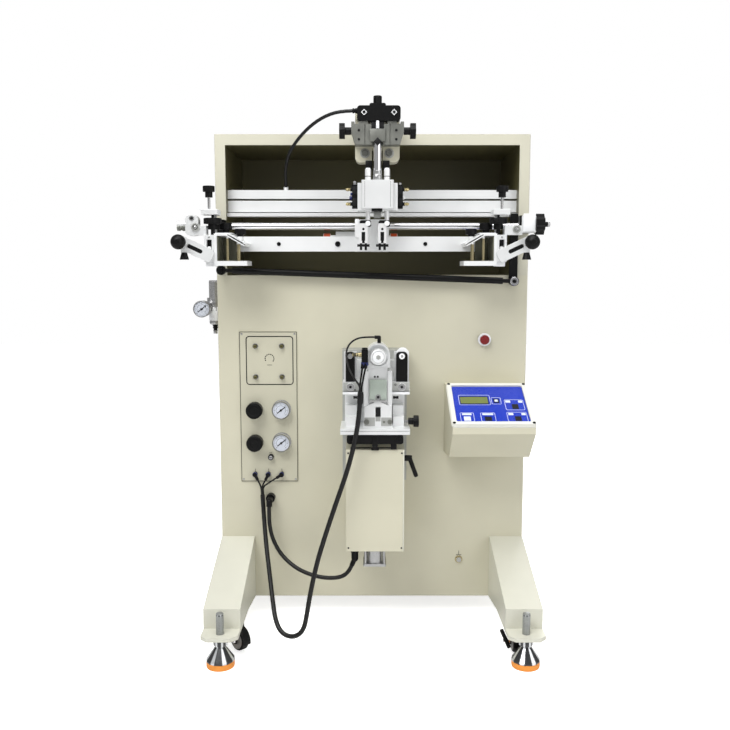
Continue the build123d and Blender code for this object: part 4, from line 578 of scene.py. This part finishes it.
headBlocks = {
    # dark slabs in the gap on the slide's top and in the column's notch: painted shade
    "headGapShade": bars("dark", [(10, 110, 1137, 27, 17, 16)], bevel=0.3),
    "headBridge": bars("headCast", [(10, 121.2, 1115, 33, 4, 27)], bevel=1.0),
    "headNotchShade": bars("dark", [(10, 121.6, 1101.6, 12.5, 4, 12.5)], bevel=0.2, tilt=45),
    # black blocks over the rods' tops
    "rodBlackBlocks": bars("blackPlastic", [
        (-8.5, 93.4, 1054, 15, 17.4, 21), (29, 93.4, 1054, 15, 17.4, 21),
    ], bevel=1.2),
    "blockFoot": bars("blackPlastic", [(8.7, 118, 957.6, 23, 34, 5.2)], bevel=0.8),
    "centerGuide": bars("cast", [(10, 99, 948.2, 16, 5, 14)]),
    "blockSeams": bars("dark", [
        (-17.5, 138.02, 990, 0.5, 0.3, 55), (37.5, 138.02, 990, 0.5, 0.3, 55),
    ], bevel=0),
    "holderPlate": bars("white", [(-34.2, 108, 918, 8, 5, 42)], body="squeegee"),
    "valveBands": bars("dark", [
        (-39, 115.2, 975, 9, 1.2, 15), (-39, 115.2, 1000, 9, 1.2, 15), (59, 115.2, 975, 9, 1.2, 15),
        (59, 115.2, 1000, 9, 1.2, 15),
    ], bevel=0.4),
}
buildAll(headTurned, headBlocks)
# the body, the rod's x and the fork's x of each holder
holders = {"Left": ("squeegee", -10.5, -20.5), "Right": ("flood_bar", 30.5, 20.5)}
for side, (body, rodX, forkX) in holders.items():
    holderTrim = {
        "rodGroove" + side: trim("disc", "dark", [(rodX, 110, 1029, 6.75, 1.6)], way="up"),
        "rodTip" + side: trim("dome", "white", [(rodX, 110, 1045.2, 5.2, 3)], way="up"),
        "holderScrew" + side: trim("disc", "white", [(rodX, 120.8, 929, 5.7, 1.0)]),
        "forkPin" + side: trim("disc", "dark", [(forkX, 117.8, 917, 2.6, 0.6)]),
    }
    shadeName = "forkShades" if side == "Left" else "forkShadesRight"
    buildAll(holderTrim, {shadeName: bars("dark", [(forkX, 108, 899, 7.9, 6, 24)], bevel=0)}, body)
knurled("headKnobGrips", "frame", [(10, 110, 1182, "up", 9.4, 16.4, 14, 0.1)])
print("the print head is dressed")

# the carriage and its two frame clamps
clampMiddle = -37.5


def bothSides(items):
    # each item starts with its distance from the clamps' middle
    return [(clampMiddle + side * item[0], *item[1:]) for item in items for side in (-1, 1)]


carriageTurned = {
    "barScrews": trim("socket", "blackPlastic", [
        (-78, 59.8, 886.5, 6, 3), (118, 59.8, 886.5, 4.4, 2.2), (-210, 59.8, 886.5, 4.4, 2.2),
    ]),
    "buffersLeft": trim("collar", "buffer", [(-112.4, 10.5, 905, 6.9, 16.6)], way="right"),
    "buffersRight": trim("collar", "buffer", [(40.8, 10.5, 905, 6.9, 16.6)], way="right"),
    "clampStudThreads": trim("thread", "steel", bothSides([(317.5, 112, 958, 3.1, 27)]), way="up"),
    "clampPostSleeves": trim("collar", "bronze", bothSides([
        (276.5, 127, 848.2, 2.9, 48), (252.5, 127, 848.2, 3.9, 36),
    ]), way="up"),
    "bracketRing": trim("ring", "steel", [(-389.5, 132.4, 939, 5.6, 1)]),
    "bracketHole": trim("disc", "dark", [(-389.5, 132.5, 939, 3.2, 0.5)]),
    "bracketHub": trim("ring", "cast", [(-381.5, 132.4, 920, 9, 4), (309, 132.4, 916, 8.6, 3)]),
    "clampBoxBosses": trim("dome", "steel", bothSides([
        (315, 134.6, 851, 2.4, 1.2), (315, 134.6, 899, 2.4, 1.2),
    ])),
    "shaftTips": trim("hub", "headCast", [(-404, 120, 920, 7.5, 19)], way="left"),
    "bracketBolts": trim("round", "steel", [(309, 132.4, 916, 4.6, 4.4), (-381.5, 132.4, 920, 4.6, 5.4)]),
    "ballCaps": trim("disc", "blackPlastic", bothSides([(375, 179.2, 888, 5.5, 2)])),
    "starKnobTip": trim("dome", "steel", [(377.8, 120, 927, 5.6, 6)], way="right"),
}
carriageBlocks = {
    "clampTopLips": bars("white", bothSides([
        (284, 97, 907.6, 37, 70, 1.6), (316, 112.5, 958.4, 37, 42, 1.2),
    ])),
    # plates of painted shade on the channel's inner walls
    "clampInnerShadePlates": bars("shade", bothSides([(297.6, 99, 875, 1.6, 66, 52)]), bevel=0.3),
    "clampWebShadePlates": bars("shade", bothSides([(281.5, 64.8, 875, 30, 1.2, 52)]), bevel=0.3),
    "clampJawGrooveLeft": bars("dark", [(-294, 134.9, 893.4, 43, 0.6, 1.8)], bevel=0, tilt=30),
    "clampJawGrooveRight": bars("dark", [(219, 134.9, 893.4, 43, 0.6, 1.8)], bevel=0, tilt=-30),
    # dark plates behind the arms' slots and in the boxes' windows: painted shade
    "clampSlotShadeLeft": bars("dark", [(-382.5, 135.8, 874, 35, 1.2, 9)], bevel=0, tilt=25),
    "clampSlotShadeRight": bars("dark", [(307.5, 135.8, 874, 35, 1.2, 9)], bevel=0, tilt=-25),
    "clampWindowShades": bars("dark", bothSides([(315, 121.6, 875, 10.8, 0.8, 37.6)]), bevel=0),
    "clampLowerShades": bars("shade", bothSides([(268.6, 97, 848.3, 68, 68, 0.8)]), bevel=0.4),
    "clampBrackets": bars("white", bothSides([(313.5, 112, 841.2, 21, 30, 9.4)]), bevel=0.8),
    "clampBlackPlate": bars("blackPlastic", [(319.2, 121, 929, 6, 20, 33)], bevel=0.6),
    "clampWhitePlate": bars("white", [(336, 134.4, 930, 26, 2.6, 38)], bevel=0.6),
}
buildAll(carriageTurned, carriageBlocks, "screen_carriage")
knurled("clampGrips", "screen_carriage", [
    (x, out, z, "up", r, h, lobes, depth)
    for x, out, z, r, h, lobes, depth in bothSides([
        (317.5, 112, 996.8, 12.9, 12.6, 14, 0.12), (309, 120, 927.8, 19.4, 12.6, 22, 0.07),
        (286, 92, 916.8, 14.4, 14.6, 16, 0.1), (251, 112, 905.8, 12.4, 11.6, 14, 0.1),
    ])
])
print("the carriage and clamps are dressed")

# the nest that holds the work
nestTurned = {
    "guardEnds": trim("socket", "blackPlastic", [
        (-48.5, 155.8, 460.6, 8.6, 2.4), (58.5, 155.8, 460.6, 8.6, 2.4),
    ]),
    "nestRingBosses": trim("ring", "steel", [(-49, 130.8, 573, 8.6, 1.4), (64, 130.8, 573, 8.6, 1.4)]),
    "nestBossScrews": trim("socket", "dark", [
        (-49, 130.8, 573, 2.9, 2), (64, 130.8, 573, 2.9, 2), (-39, 127.6, 566, 2.2, 1.4),
        (50, 127.6, 578, 2.2, 1.4),
    ]),
    "nestSetScrews": trim("hub", "dark", [(-31, 124, 549, 3.2, 12), (57, 124, 549, 3.2, 12)], way="left"),
    "nestArmRings": trim("ring", "steel", [(-49.5, 130.9, 641, 5.6, 1.3)]),
    "nestArmDisc": trim("disc", "white", [(64, 130.9, 641, 6.4, 1.6)]),
    "nestArmSocket": trim("socket", "dark", [(64, 132, 641, 2.4, 1)]),
    "nestBackDisc": trim("disc", "white", [(66, 113.6, 645, 14, 1.4)]),
    "nestClip": trim("ring", "steel", [(11.5, 149.6, 553.5, 6.6, 3.4)], steps=6),
    "nestClipHole": trim("disc", "dark", [(11.5, 149.8, 553.5, 3.0, 2)]),
    "nestDots": trim("disc", "dark", [(4.5, 139.8, 597, 2.3, 1), (10.8, 139.8, 597, 2.3, 1)]),
    "nestPlateScrews": trim("socket", "headCast", [
        (-13.5, 150.7, 499, 6, 2.2), (37.5, 150.7, 499, 5.4, 2.2), (24.5, 150.7, 499, 2.6, 1.4),
    ]),
    "chuckFace": trim("disc", "white", [(11.5, 179.8, 644, 11.6, 1.2)], body="chuck"),
    "chuckSocket": trim("ring", "cast", [(11.5, 180.8, 644, 5.2, 1.0)], steps=6, body="chuck"),
    "portCollars": trim("collar", "navy", [
        (-21.3, 165, 632, 4.4, 7), (-13.7, 165, 632, 4.4, 7),
    ], way="down"),
    "nestBrass": trim("hub", "brass", [(-24.4, 165, 648, 5.2, 5.5), (-30.4, 165, 648, 4.4, 6)], way="left"),
    "nestBrassTip": trim("barb", "brass", [(-36.4, 165, 648, 4.3, 8)], way="left"),
    "fittingCap": trim("dome", "blackPlastic", [(-17.5, 158, 659.8, 6.6, 3)], way="up"),
    "tableKnobHub": trim("thread", "steel", [(69.2, 120, 495, 3.4, 9.6)], way="right"),
}
nestBlocks = {
    "nestBarFaces": bars("cast", [
        (-45, 128.2, 573, 40, 0.6, 20.4), (56, 128.2, 573, 48, 0.6, 20.4),
    ], bevel=0.2),
    "nestLip": bars("white", [
        (-36.5, 121, 559.2, 59.5, 24, 5.6), (54.5, 121, 559.2, 53.5, 24, 5.6),
    ], bevel=0.8),
    "nestGlass": bars("glassGrey", [(11.5, 147, 568, 38, 7, 48)], bevel=0.8),
    "nestGlassFoot": bars("steel", [(11.5, 149, 545.5, 40, 10, 5)], bevel=1.2),
    "nestShadowSlot": bars("dark", [(11.5, 149.2, 520, 11.4, 2, 19)], bevel=0.3),
    "nestSlotPlate": bars("cast", [(11.5, 149, 503.5, 11.4, 1.8, 13)], bevel=0.3),
    "nestPlateEdge": bars("cast", [
        (-6.8, 150.3, 499, 23, 1.2, 19), (29.8, 150.3, 499, 23, 1.2, 19),
    ], bevel=0.4),
    "tableGroove": bars("dark", [(5, 160.05, 480, 150, 0.3, 0.7)], bevel=0),
    "guardCenter": bars("blackPlastic", [(5, 157, 459, 13, 4, 27)], bevel=1.5),
    "guardStruts": bars("blackPlastic", [
        (5, 155, 451, 11, 6, 25), (46, 152.6, 447, 13, 5, 17), (0, 153, 441.6, 98, 3, 3),
        (5, 153.4, 438.6, 17, 3.4, 5),
    ], bevel=1.0),
}
buildAll(nestTurned, nestBlocks, "nest")
knurled("nestGrips", "nest", [(90.8, 120, 495, "right", 13.2, 11.4, 14, 0.1)])
print("the nest is dressed")

# the pneumatic panel
panelFace = onWall(2)
panelLines = {
    "frames": [(-244, 506.5, 134.4, 357.4, 1.2, 1.2), (-240.7, 617.5, 111.4, 115.4, 8, 2.2)],
    "arcMiddle": (-241, 622), "arcRadii": (11.4, 9.2), "arcStarts": range(-40, 220, 26), "arcSweep": 17,
    "strokes": [(-241, 607, 12, 0.9), (-241, 397, 7, 0.8)] + [(x, 355, 0.9, 7) for x in (-278, -215, -246.5)],
    "levels": (-0.2, 0.35),
}


def panelInk(bm):
    levels = panelLines["levels"]
    for span in panelLines["frames"]:
        outline(bm, panelFace, *span, *levels)
    for start in panelLines["arcStarts"]:
        end = start + panelLines["arcSweep"]
        loops = [shifted(arcLoop(r, start, end, 4), *panelLines["arcMiddle"]) for r in panelLines["arcRadii"]]
        solidBetween(bm, panelFace, *loops, *levels, False)
    for span in panelLines["strokes"]:
        plate(bm, panelFace, *span, 0.3, *levels)


build("panelInk", "dark", panelInk)
gaugeDials = {
    "spots": [(-214, 20, 502), (-214, 20, 424), (-414, -82, 734)],
    "face": [(18.3, -0.3), (18.3, 0.3), (18.1, 0.4)],
    "sweep": (225, -45), "gaps": 30, "tickEdge": 16.4, "longTick": (3.2, 0.75), "shortTick": (1.5, 0.4),
    "scaleRadii": (11.4, 10.8), "needleTurn": 38, "needleSize": (25, 0.5, 1.9),
    "needleHub": [(2.6, 0), (2.6, 1.5), (2.0, 1.9)],
}


def dialFace(bm):
    for spot in gaugeDials["spots"]:
        turned(bm, gaugeDials["face"], mm(*spot), ways["out"], 48)


def dialInk(bm):
    first, last = gaugeDials["sweep"]
    needle = gaugeDials["needleTurn"]
    for x, out, z in gaugeDials["spots"]:
        face = onWall(out)
        for i in range(gaugeDials["gaps"] + 1):
            angle = first + (last - first) * i / gaugeDials["gaps"]
            turn = math.radians(angle)
            length, width = gaugeDials["shortTick" if i % 5 else "longTick"]
            reach = gaugeDials["tickEdge"] - length / 2
            spot = face(x + reach * math.cos(turn), z + reach * math.sin(turn), 0.45)
            slab(bm, spot, (length, 0.2, width), 0, -angle)
        turn = math.radians(needle)
        slab(bm, face(x + math.cos(turn), z + math.sin(turn), 0.9), gaugeDials["needleSize"], 0, -needle)
        turned(bm, gaugeDials["needleHub"], face(x, z, 0.3), ways["out"], 20)
        loops = [shifted(arcLoop(r, last, first, 40), x, z) for r in gaugeDials["scaleRadii"]]
        solidBetween(bm, face, *loops, 0.3, 0.5, False)


build("dialFaces", "dial", dialFace)
build("dialInk", "dark", dialInk)
panelTurned = {
    "gaugeRims": trim("collar", "steel", [(-214, 1.8, 502, 22.2, 3), (-214, 1.8, 424, 22.2, 3)]),
    # dark grey rings on the chrome bezels: painted dark reflection
    "gaugeEdgeReflections": trim("rim", "headCast", [(-214, 20, 502, 21.3, 2.8), (-214, 20, 424, 21.3, 2.8)]),
    "panelStuds": trim("hub", "greenStud", [
        (x, 8.8, z, 4.4, 4) for x in (-274, -212) for z in (651.5, 579)
    ]),
    "panelStudWashers": trim("disc", "steel", [
        (x, 1.8, z, 6.6, 1.6) for x in (-274, -212) for z in (651.5, 579)
    ]),
    "fittingCollars": trim("collar", "navy", [(x, 11, 346.5, 5.9, 5) for x in (-278, -246.5, -215)]),
    "switchStem": trim("disc", "steel", [(-240, 13.8, 388, 4.6, 1.2)]),
    "knobFaces": trim("ring", "blackPaint", [(-276, 31.8, z, 14, 1.2) for z in (502, 424)]),
    "panelScrews": trim("round", "steel", [
        (x, 1.9, z, 2.4, 1.4) for x in (-306, -182) for z in (333, 680)
    ]),
}
panelBlocks = {
    "switchSlot": bars("dark", [(-240, 15.1, 388, 6.6, 0.4, 1.3)], bevel=0),
    "studSlots": bars("dark", [
        (x, 12.9, z, 5.2, 0.4, 1.0) for x in (-274, -212) for z in (651.5, 579)
    ], bevel=0),
}
buildAll(panelTurned, panelBlocks)
knurled("regulatorGrips", "frame", [(-276, 10, z, "out", 19.5, 21.5, 28, 0.05) for z in (502, 424)])
print("the panel is dressed")

# the console on its sloping lid
lid = {
    "x": 259, "out": 124, "z": 529.4, "run": (0.8994, -0.4372), "normal": (0.4372, 0.8994), "rise": 5.0,
    "size": (159.4, 137.5), "screws": (85.2, 74, 3.7), "screwSize": (3.4, 1.4), "keyFoot": -0.2,
}


def onLid(u, v, rise):
    # u to the right and v toward the front, in mm from the middle of the membrane
    run, normal = lid["run"], lid["normal"]
    height = lid["rise"] + rise
    out = lid["out"] + v * run[0] + normal[0] * height
    return mm(lid["x"] + u, out, lid["z"] + v * run[1] + normal[1] * height)


def lidSpan(left, right, back, front):
    # middle and size in mm of a place given as shares of the membrane
    width, length = lid["size"]
    middle = (width * ((left + right) / 2 - 0.5), length * ((back + front) / 2 - 0.5))
    return (*middle, width * (right - left), length * (front - back))


consoleKeys = {
    "outlines": [
        (0.078, 0.516, 0.24, 0.52), (0.53, 0.665, 0.31, 0.50), (0.708, 0.971, 0.37, 0.66),
        (0.70, 0.973, 0.715, 0.97), (0.063, 0.25, 0.73, 0.97), (0.34, 0.54, 0.73, 0.97),
    ],
    "dark": [
        (0.80, 0.888, 0.50, 0.63), (0.80, 0.887, 0.83, 0.95), (0.39, 0.485, 0.84, 0.95),
        (0.56, 0.635, 0.35, 0.46),
    ],
    "white": [
        (0.107, 0.20, 0.84, 0.95), (0.575, 0.62, 0.375, 0.435), (0.722, 0.79, 0.40, 0.46),
        (0.90, 0.957, 0.40, 0.46), (0.722, 0.79, 0.745, 0.80), (0.90, 0.957, 0.745, 0.80),
        (0.09, 0.22, 0.755, 0.80), (0.365, 0.515, 0.755, 0.80),
    ],
    "display": [(0.10, 0.48, 0.30, 0.48)],
    "displayEdge": [(0.092, 0.488, 0.287, 0.493)],
}


def lidLines(kind, corner, line, high):
    def maker(bm):
        for span in consoleKeys[kind]:
            outline(bm, onLid, *lidSpan(*span), corner, line, lid["keyFoot"], high)

    return maker


def lidKeys(kind, corner, high):
    def maker(bm):
        for span in consoleKeys[kind]:
            plate(bm, onLid, *lidSpan(*span), corner, lid["keyFoot"], high)

    return maker


def lidScrews(bm):
    across, along, rise = lid["screws"]
    axis = (0, -lid["normal"][0], lid["normal"][1])
    for u in (-across, across):
        for v in (-along, along):
            turned(bm, formOf("socket", *lid["screwSize"]), onLid(u, v, rise), axis, 24)


build("lidOutlines", "keyWhite", lidLines("outlines", 4, 0.9, 0.3))
build("lidDarkKeys", "dark", lidKeys("dark", 1.2, 0.7))
build("lidWhiteKeys", "keyWhite", lidKeys("white", 1.2, 0.9))
build("lidDisplay", "lcd", lidKeys("display", 1.5, 0.6))
build("lidDisplayEdge", "dark", lidLines("displayEdge", 2.2, 1.0, 0.9))
build("lidScrews", "blackPlastic", lidScrews)
buildTurned("buttonRing", trim("ring", "white", [(262, 5.4, 667, 15.2, 1.6)]))
print("the console is dressed")

# cabinet, legs, feet and casters
sheetTurned = {
    "groundBolt": trim("nut", "steel", [(209, 2.2, 135, 6.6, 5)], steps=6),
    "groundWasher": trim("disc", "brass", [(209, -0.2, 135, 9, 2.4)]),
    "studThreads": trim("thread", "studSteel", [
        (x, footOut, 70.2, 8.25, 40) for x in (-legX, legX)
    ], way="up"),
    "studTips": trim("dome", "studSteel", [(x, footOut, 110, 8.0, 7) for x in (-legX, legX)], way="up"),
    "footCollars": trim("collar", "footChrome", [(x, footOut, 42, 11, 4) for x in (-legX, legX)], way="up"),
    "padGrooves": trim("collar", "orange", [(x, footOut, 0.4, 29.6, 11.8) for x in (-legX, legX)], way="up"),
    "coverScrews": trim("round", "dark", [(x, 149.9, z, 2.0, 1.0) for x in (-54, 64) for z in (214, 429)]),
    "rodEyeRing": trim("ring", "chrome", [(325.5, 24.6, 803, 9.6, 1.8)]),
    "wallFittings": trim("hub", "blackPlastic", [
        (-388, -120, 694.4, 7, 9), (-388, -120, 686, 5.6, 7),
    ], way="down"),
    "wallFittingTip": trim("hub", "steel", [(-388, -120, 679.4, 5.4, 8)], way="down"),
    "bowlBands": trim("collar", "white", [(-388, -120, 700, 14.6, 42)], way="up"),
}
sheetBlocks = {
    "earthSymbol": bars("dark", [
        (209, 0, 151, 1, 0.5, 10), (209, 0, 146, 13, 0.5, 1), (209, 0, 143.4, 8.5, 0.5, 1),
        (209, 0, 140.9, 4.4, 0.5, 1),
    ], bevel=0),
    # a lighter strip along the cover's folded edge: painted highlight
    "coverFoldHighlight": bars("leg", [(68, 150.4, 322, 3, 1.4, 228)], bevel=0.4),
    "wallPlate": bars("steel", [(-364.2, -120, 775, 5, 20, 62)], bevel=0.8),
}
buildAll(sheetTurned, sheetBlocks)
leverForm = {
    "hub": (6.6, 18.5), "start": (69.9, 110, 409), "arm": (90.5, 110, 389), "size": (10, 10, 49),
    "bevel": 3.2, "tilt": -20,
}


def leverGrip(bm):
    turned(bm, formOf("collar", *leverForm["hub"]), mm(*leverForm["start"]), ways["right"], 28)
    slab(bm, mm(*leverForm["arm"]), leverForm["size"], leverForm["bevel"], leverForm["tilt"])


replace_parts(build("leverGrip", "blackPlastic", leverGrip, "lever"), "clamp_lever")
buildTurned("wallGaugeRim", trim("rim", "steel", [(-414, -82.4, 734, 20.6, 3)]))

casterTrim = {
    "wheelFace": 8.8, "ring": (19.5, 0.7), "hub": (6.5, 0.9), "cheek": 13.1, "nut": (5.2, 4.2),
    "fenderRadii": (28.4, 25.6), "fenderSweep": (-10, 190), "fenderHalf": 9,
    "leverAt": (-23.5, -4, 6), "leverSize": (8.5, 14, 42), "leverTilt": -24,
    "boltAt": (-12.8, 0, 0), "boltSize": (4, 15),
}


def wheelPlace(node):
    # the middle and the axle direction of a caster wheel
    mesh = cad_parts[node].data
    spots = [v.co for v in mesh.vertices]
    middle = sum((Vector([f(s[i] for s in spots) for i in range(3)]) for f in (min, max)), Vector()) / 2
    axes = [Vector(a).normalized() for a in ((1, 0, 0), (0, 1, 0), (1, 1, 0), (1, -1, 0))]
    spans = [max(s.dot(a) for s in spots) - min(s.dot(a) for s in spots) for a in axes]
    return middle, axes[spans.index(min(spans))]


def onAxle(middle, axle, form, size, offset, steps):
    # one turned form at each end of an axle
    def maker(bm):
        for end in (-1, 1):
            start = middle + axle * end * casterTrim[offset] / 1000
            turned(bm, formOf(form, *casterTrim[size]), start, axle * end, steps)

    return maker


def fender(middle, axle):
    level = axle.cross(Vector((0, 0, 1)))
    half = casterTrim["fenderHalf"]

    def around(u, v, rise):
        return middle + (level * u + Vector((0, 0, 1)) * v + axle * rise) / 1000

    def maker(bm):
        loops = [arcLoop(r, *casterTrim["fenderSweep"], 28) for r in casterTrim["fenderRadii"]]
        solidBetween(bm, around, *loops, -half, half, False)

    return maker


def brakeLever(bm):
    spot = middle + Vector(casterTrim["leverAt"]) / 1000
    slab(bm, spot, casterTrim["leverSize"], 2, casterTrim["leverTilt"])


def brakeBolt(bm):
    form = formOf("hub", *casterTrim["boltSize"])
    turned(bm, form, middle + Vector(casterTrim["boltAt"]) / 1000, ways["left"], 20)


for side in ("left", "right"):
    middle, axle = wheelPlace("caster_wheel_" + side)
    wheel = (middle, axle)
    title = side.title()
    build("casterFender" + title, "blackPlastic", fender(*wheel), side + "_caster")
    build("wheelRings" + title, "tread", onAxle(*wheel, "ring", "ring", "wheelFace", 40), side + "_wheel")
    build("wheelHubs" + title, "steel", onAxle(*wheel, "disc", "hub", "wheelFace", 24), side + "_wheel")
    build("axleNuts" + title, "chrome", onAxle(*wheel, "nut", "nut", "cheek", 6), side + "_caster")
# the brake that shows is on the right wheel, which the loop left as the middle
build("brakeLever", "blackPlastic", brakeLever, "right_caster")
build("brakeBolt", "chrome", brakeBolt, "right_caster")
print("the cabinet, feet and casters are dressed")

# hoses
hoses = {
    "main_hose": {
        "diameter": 0.0105,
        "length": 0.920,
        "stiffness": "limp",
        "body": "frame",
        "braid": {"around": 32, "strands": 6, "pitch": 0.016, "depth": 0.07},
        "stretch": ("nest", (-0.200, -0.35, 0.3), (-0.034, -0.35, 0.3)),
        "points": [
            (-260, 18.4, 300), (-257, 26, 262), (-249, 56, 196), (-236, 98, 132), (-226, 132, 84),
            (-218, 158, 52), (-205, 176, 31), (-184, 188, 24), (-163, 195, 31), (-150, 199, 50),
            (-144, 202, 82), (-136, 204, 130), (-122, 203, 196), (-102, 198, 262), (-79, 192, 330),
            (-55, 186, 398), (-37, 181, 468), (-29, 177, 524), (-27, 176, 562),
        ],
    },
    "column_hose": {
        "diameter": 0.0095,
        "length": 0.319,
        "stiffness": "medium",
        "body": "frame",
        "braid": {"around": 28, "strands": 6, "pitch": 0.015, "depth": 0.06},
        "points": [
            (-47, 110, 160), (-54, 110, 143), (-74, 109, 130), (-107, 102, 126), (-145, 90, 130),
            (-182, 73, 142), (-214, 56, 166), (-235, 44, 200), (-242, 40, 234), (-242.5, 40, 258),
            (-242, 40, 277),
        ],
    },
    "head_hose": {
        "diameter": 0.0075,
        "length": 0.300,
        "stiffness": "medium",
        "body": "frame",
        "braid": {"around": 24, "strands": 5, "pitch": 0.012, "depth": 0.07},
        "points": [
            (-34, 108, 1168), (-58, 108, 1168), (-92, 98, 1164), (-128, 76, 1149), (-161, 50, 1124),
            (-187, 18, 1096), (-199, -12, 1070), (-202, -31, 1046), (-202, -40, 1021.5),
        ],
    },
    "nest_tubes": {
        "diameter": 0.004,
        "length": 0.185,
        "stiffness": "medium",
        "body": "nest",
        "points": [
            (4, 130, 683), (-14, 131, 683.5), (-34, 134, 681), (-50, 140, 671), (-58, 149, 655),
            (-57, 158, 636), (-51, 168, 616), (-40, 180, 598), (-26.05, 178, 580.03), (-27, 178.46, 562.06),
        ],
    },
}


def nurbsRun(name, points):
    curve = bpy.data.curves.new(name, "CURVE")
    curve.dimensions = "3D"
    spline = curve.splines.new("NURBS")
    spline.points.add(len(points) - 1)
    for point, place in zip(spline.points, points):
        point.co = (*mm(*place), 1)
    spline.order_u = 3
    spline.use_endpoint_u = True
    spline.resolution_u = 40
    return curve


def lineOf(curve):
    # the smooth line of a bare curve, as points a millimetre apart
    holder = bpy.data.objects.new(curve.name + "Line", curve)
    scene.collection.objects.link(holder)
    bpy.context.view_layer.update()
    mesh = bpy.data.meshes.new_from_object(holder)
    spots = [v.co.copy() for v in mesh.vertices]
    bpy.data.objects.remove(holder)
    bpy.data.meshes.remove(mesh)
    kept = [spots[0]]
    for spot in spots[1:-1]:
        if (spot - kept[-1]).length >= 0.001:
            kept.append(spot)
    return kept + [spots[-1]]


def braidedTube(name, hose, line):
    braid = hose["braid"]
    radius = hose["diameter"] / 2
    bm = bmesh.new()
    rings = []
    side = Vector((1, 0, 0))
    gone = 0.0
    for i, spot in enumerate(line):
        ahead = (line[min(i + 1, len(line) - 1)] - line[max(i - 1, 0)]).normalized()
        side = (side - ahead * side.dot(ahead)).normalized()
        third = ahead.cross(side)
        if i:
            gone += (spot - line[i - 1]).length
        turn = 2 * math.pi * gone / braid["pitch"]
        ring = []
        for step in range(braid["around"]):
            angle = 2 * math.pi * step / braid["around"]
            phase = braid["strands"] * angle
            lift = max(math.sin(phase + turn), math.sin(phase - turn))
            r = radius * (1 - braid["depth"] * (0.5 - 0.5 * lift))
            ring.append(bm.verts.new(spot + (side * math.cos(angle) + third * math.sin(angle)) * r))
        rings.append(ring)
    for a, b in zip(rings, rings[1:]):
        for i in range(braid["around"]):
            j = (i + 1) % braid["around"]
            bm.faces.new((a[i], a[j], b[j], b[i]))
    bm.faces.new(reversed(rings[0]))
    bm.faces.new(rings[-1])
    mesh = meshOf(name, bm, 60)
    mesh.materials.append(finishes["braid"])
    return mesh


for node, hose in hoses.items():
    curve = nurbsRun(node + "Run", hose["points"])
    line = None
    if "braid" in hose:
        line = lineOf(curve)
        run = bpy.data.objects.new(node + "Sleeve", braidedTube(node + "Sleeve", hose, line))
    else:
        curve.bevel_depth = hose["diameter"] / 2
        curve.bevel_resolution = 6
        curve.use_fill_caps = True
        curve.splines[0].resolution_u = 8
        curve.materials.append(finishes["blackHose"])
        run = bpy.data.objects.new(node + "Run", curve)
    scene.collection.objects.link(run)
    if "stretch" in hose:
        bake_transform(run)
    else:
        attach(run, hose["body"])
    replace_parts(run, node)


bundle = {"size": (6.6, 26), "start": (-27.7, 176.4, 543), "ends": ((-29, 177, 524), (-27, 176, 562))}


def bundleBand(bm):
    low, high = (mm(*place) for place in bundle["ends"])
    turned(bm, formOf("collar", *bundle["size"]), mm(*bundle["start"]), high - low, 28)


build("bundleSleeve", "blackHose", bundleBand, "nest")
print("the hoses are laid")

# the stage, the lamps and the camera
stageLook = {"floorColor": (0.82, 0.82, 0.82), "floorGlow": 0.72, "floorSize": 14, "world": 0.38}
studioLamps = [
    {"name": "keyLamp", "at": (-1.3, -2.3, 3.1), "size": 1.9, "power": 75},
    {"name": "fillLamp", "at": (2.2, -2.4, 1.5), "size": 2.4, "power": 24},
    {"name": "rearLamp", "at": (1.4, 3.0, 2.3), "size": 2.4, "power": 46},
    {"name": "topLamp", "at": (0.2, -0.9, 3.3), "size": 2.4, "power": 46},
]

floorMesh = bpy.data.meshes.new("studioFloor")
half = stageLook["floorSize"] / 2
corners = [(-half, -half, 0), (half, -half, 0), (half, half, 0), (-half, half, 0)]
floorMesh.from_pydata(corners, [], [(0, 1, 2, 3)])
floor = bpy.data.objects.new("studioFloor", floorMesh)
scene.collection.objects.link(floor)
floorMat = bpy.data.materials.new("studioFloor")
floorMat.use_nodes = True
tree = floorMat.node_tree
shader = tree.nodes["Principled BSDF"]
shader.inputs["Base Color"].default_value = (*stageLook["floorColor"], 1)
shader.inputs["Roughness"].default_value = 0.9
rays = tree.nodes.new("ShaderNodeLightPath")
glow = mathOf(tree, "MULTIPLY", rays.outputs["Is Camera Ray"], stageLook["floorGlow"])
shader.inputs["Emission Color"].default_value = (1, 1, 1, 1)
linked(tree, glow, shader.inputs["Emission Strength"])
floorMesh.materials.append(floorMat)

world = bpy.data.worlds.new("studio")
scene.world = world
world.use_nodes = True
tree = world.node_tree
background = tree.nodes["Background"]
rays = tree.nodes.new("ShaderNodeLightPath")
seenRay = mathOf(tree, "MAXIMUM", rays.outputs["Is Camera Ray"], rays.outputs["Is Transmission Ray"])
level = tree.nodes.new("ShaderNodeMapRange")
level.inputs["To Min"].default_value = stageLook["world"]
level.inputs["To Max"].default_value = 1.0
linked(tree, seenRay, level.inputs["Value"])
background.inputs["Color"].default_value = (1, 1, 1, 1)
linked(tree, level.outputs["Result"], background.inputs["Strength"])

for lamp in studioLamps:
    data = bpy.data.lights.new(lamp["name"], "AREA")
    data.shape = "DISK"
    data.size = lamp["size"]
    data.energy = lamp["power"]
    light = bpy.data.objects.new(lamp["name"], data)
    light.location = lamp["at"]
    light.rotation_euler = (Vector((0, 0, 0.6)) - light.location).to_track_quat("-Z", "Y").to_euler()
    scene.collection.objects.link(light)

photoCamera = {"at": (-0.017, -2.105, 0.833), "pitch": 6.62, "lens": 41.19}
cameraData = bpy.data.cameras.new("photoCamera")
cameraData.lens = photoCamera["lens"]
cameraData.sensor_width = 36
camera = bpy.data.objects.new("photoCamera", cameraData)
camera.location = photoCamera["at"]
camera.rotation_euler = (math.radians(90 - photoCamera["pitch"]), 0, 0)
scene.collection.objects.link(camera)
scene.camera = camera
scene.view_settings.view_transform = "Standard"
print("stage, lamps and camera are set")
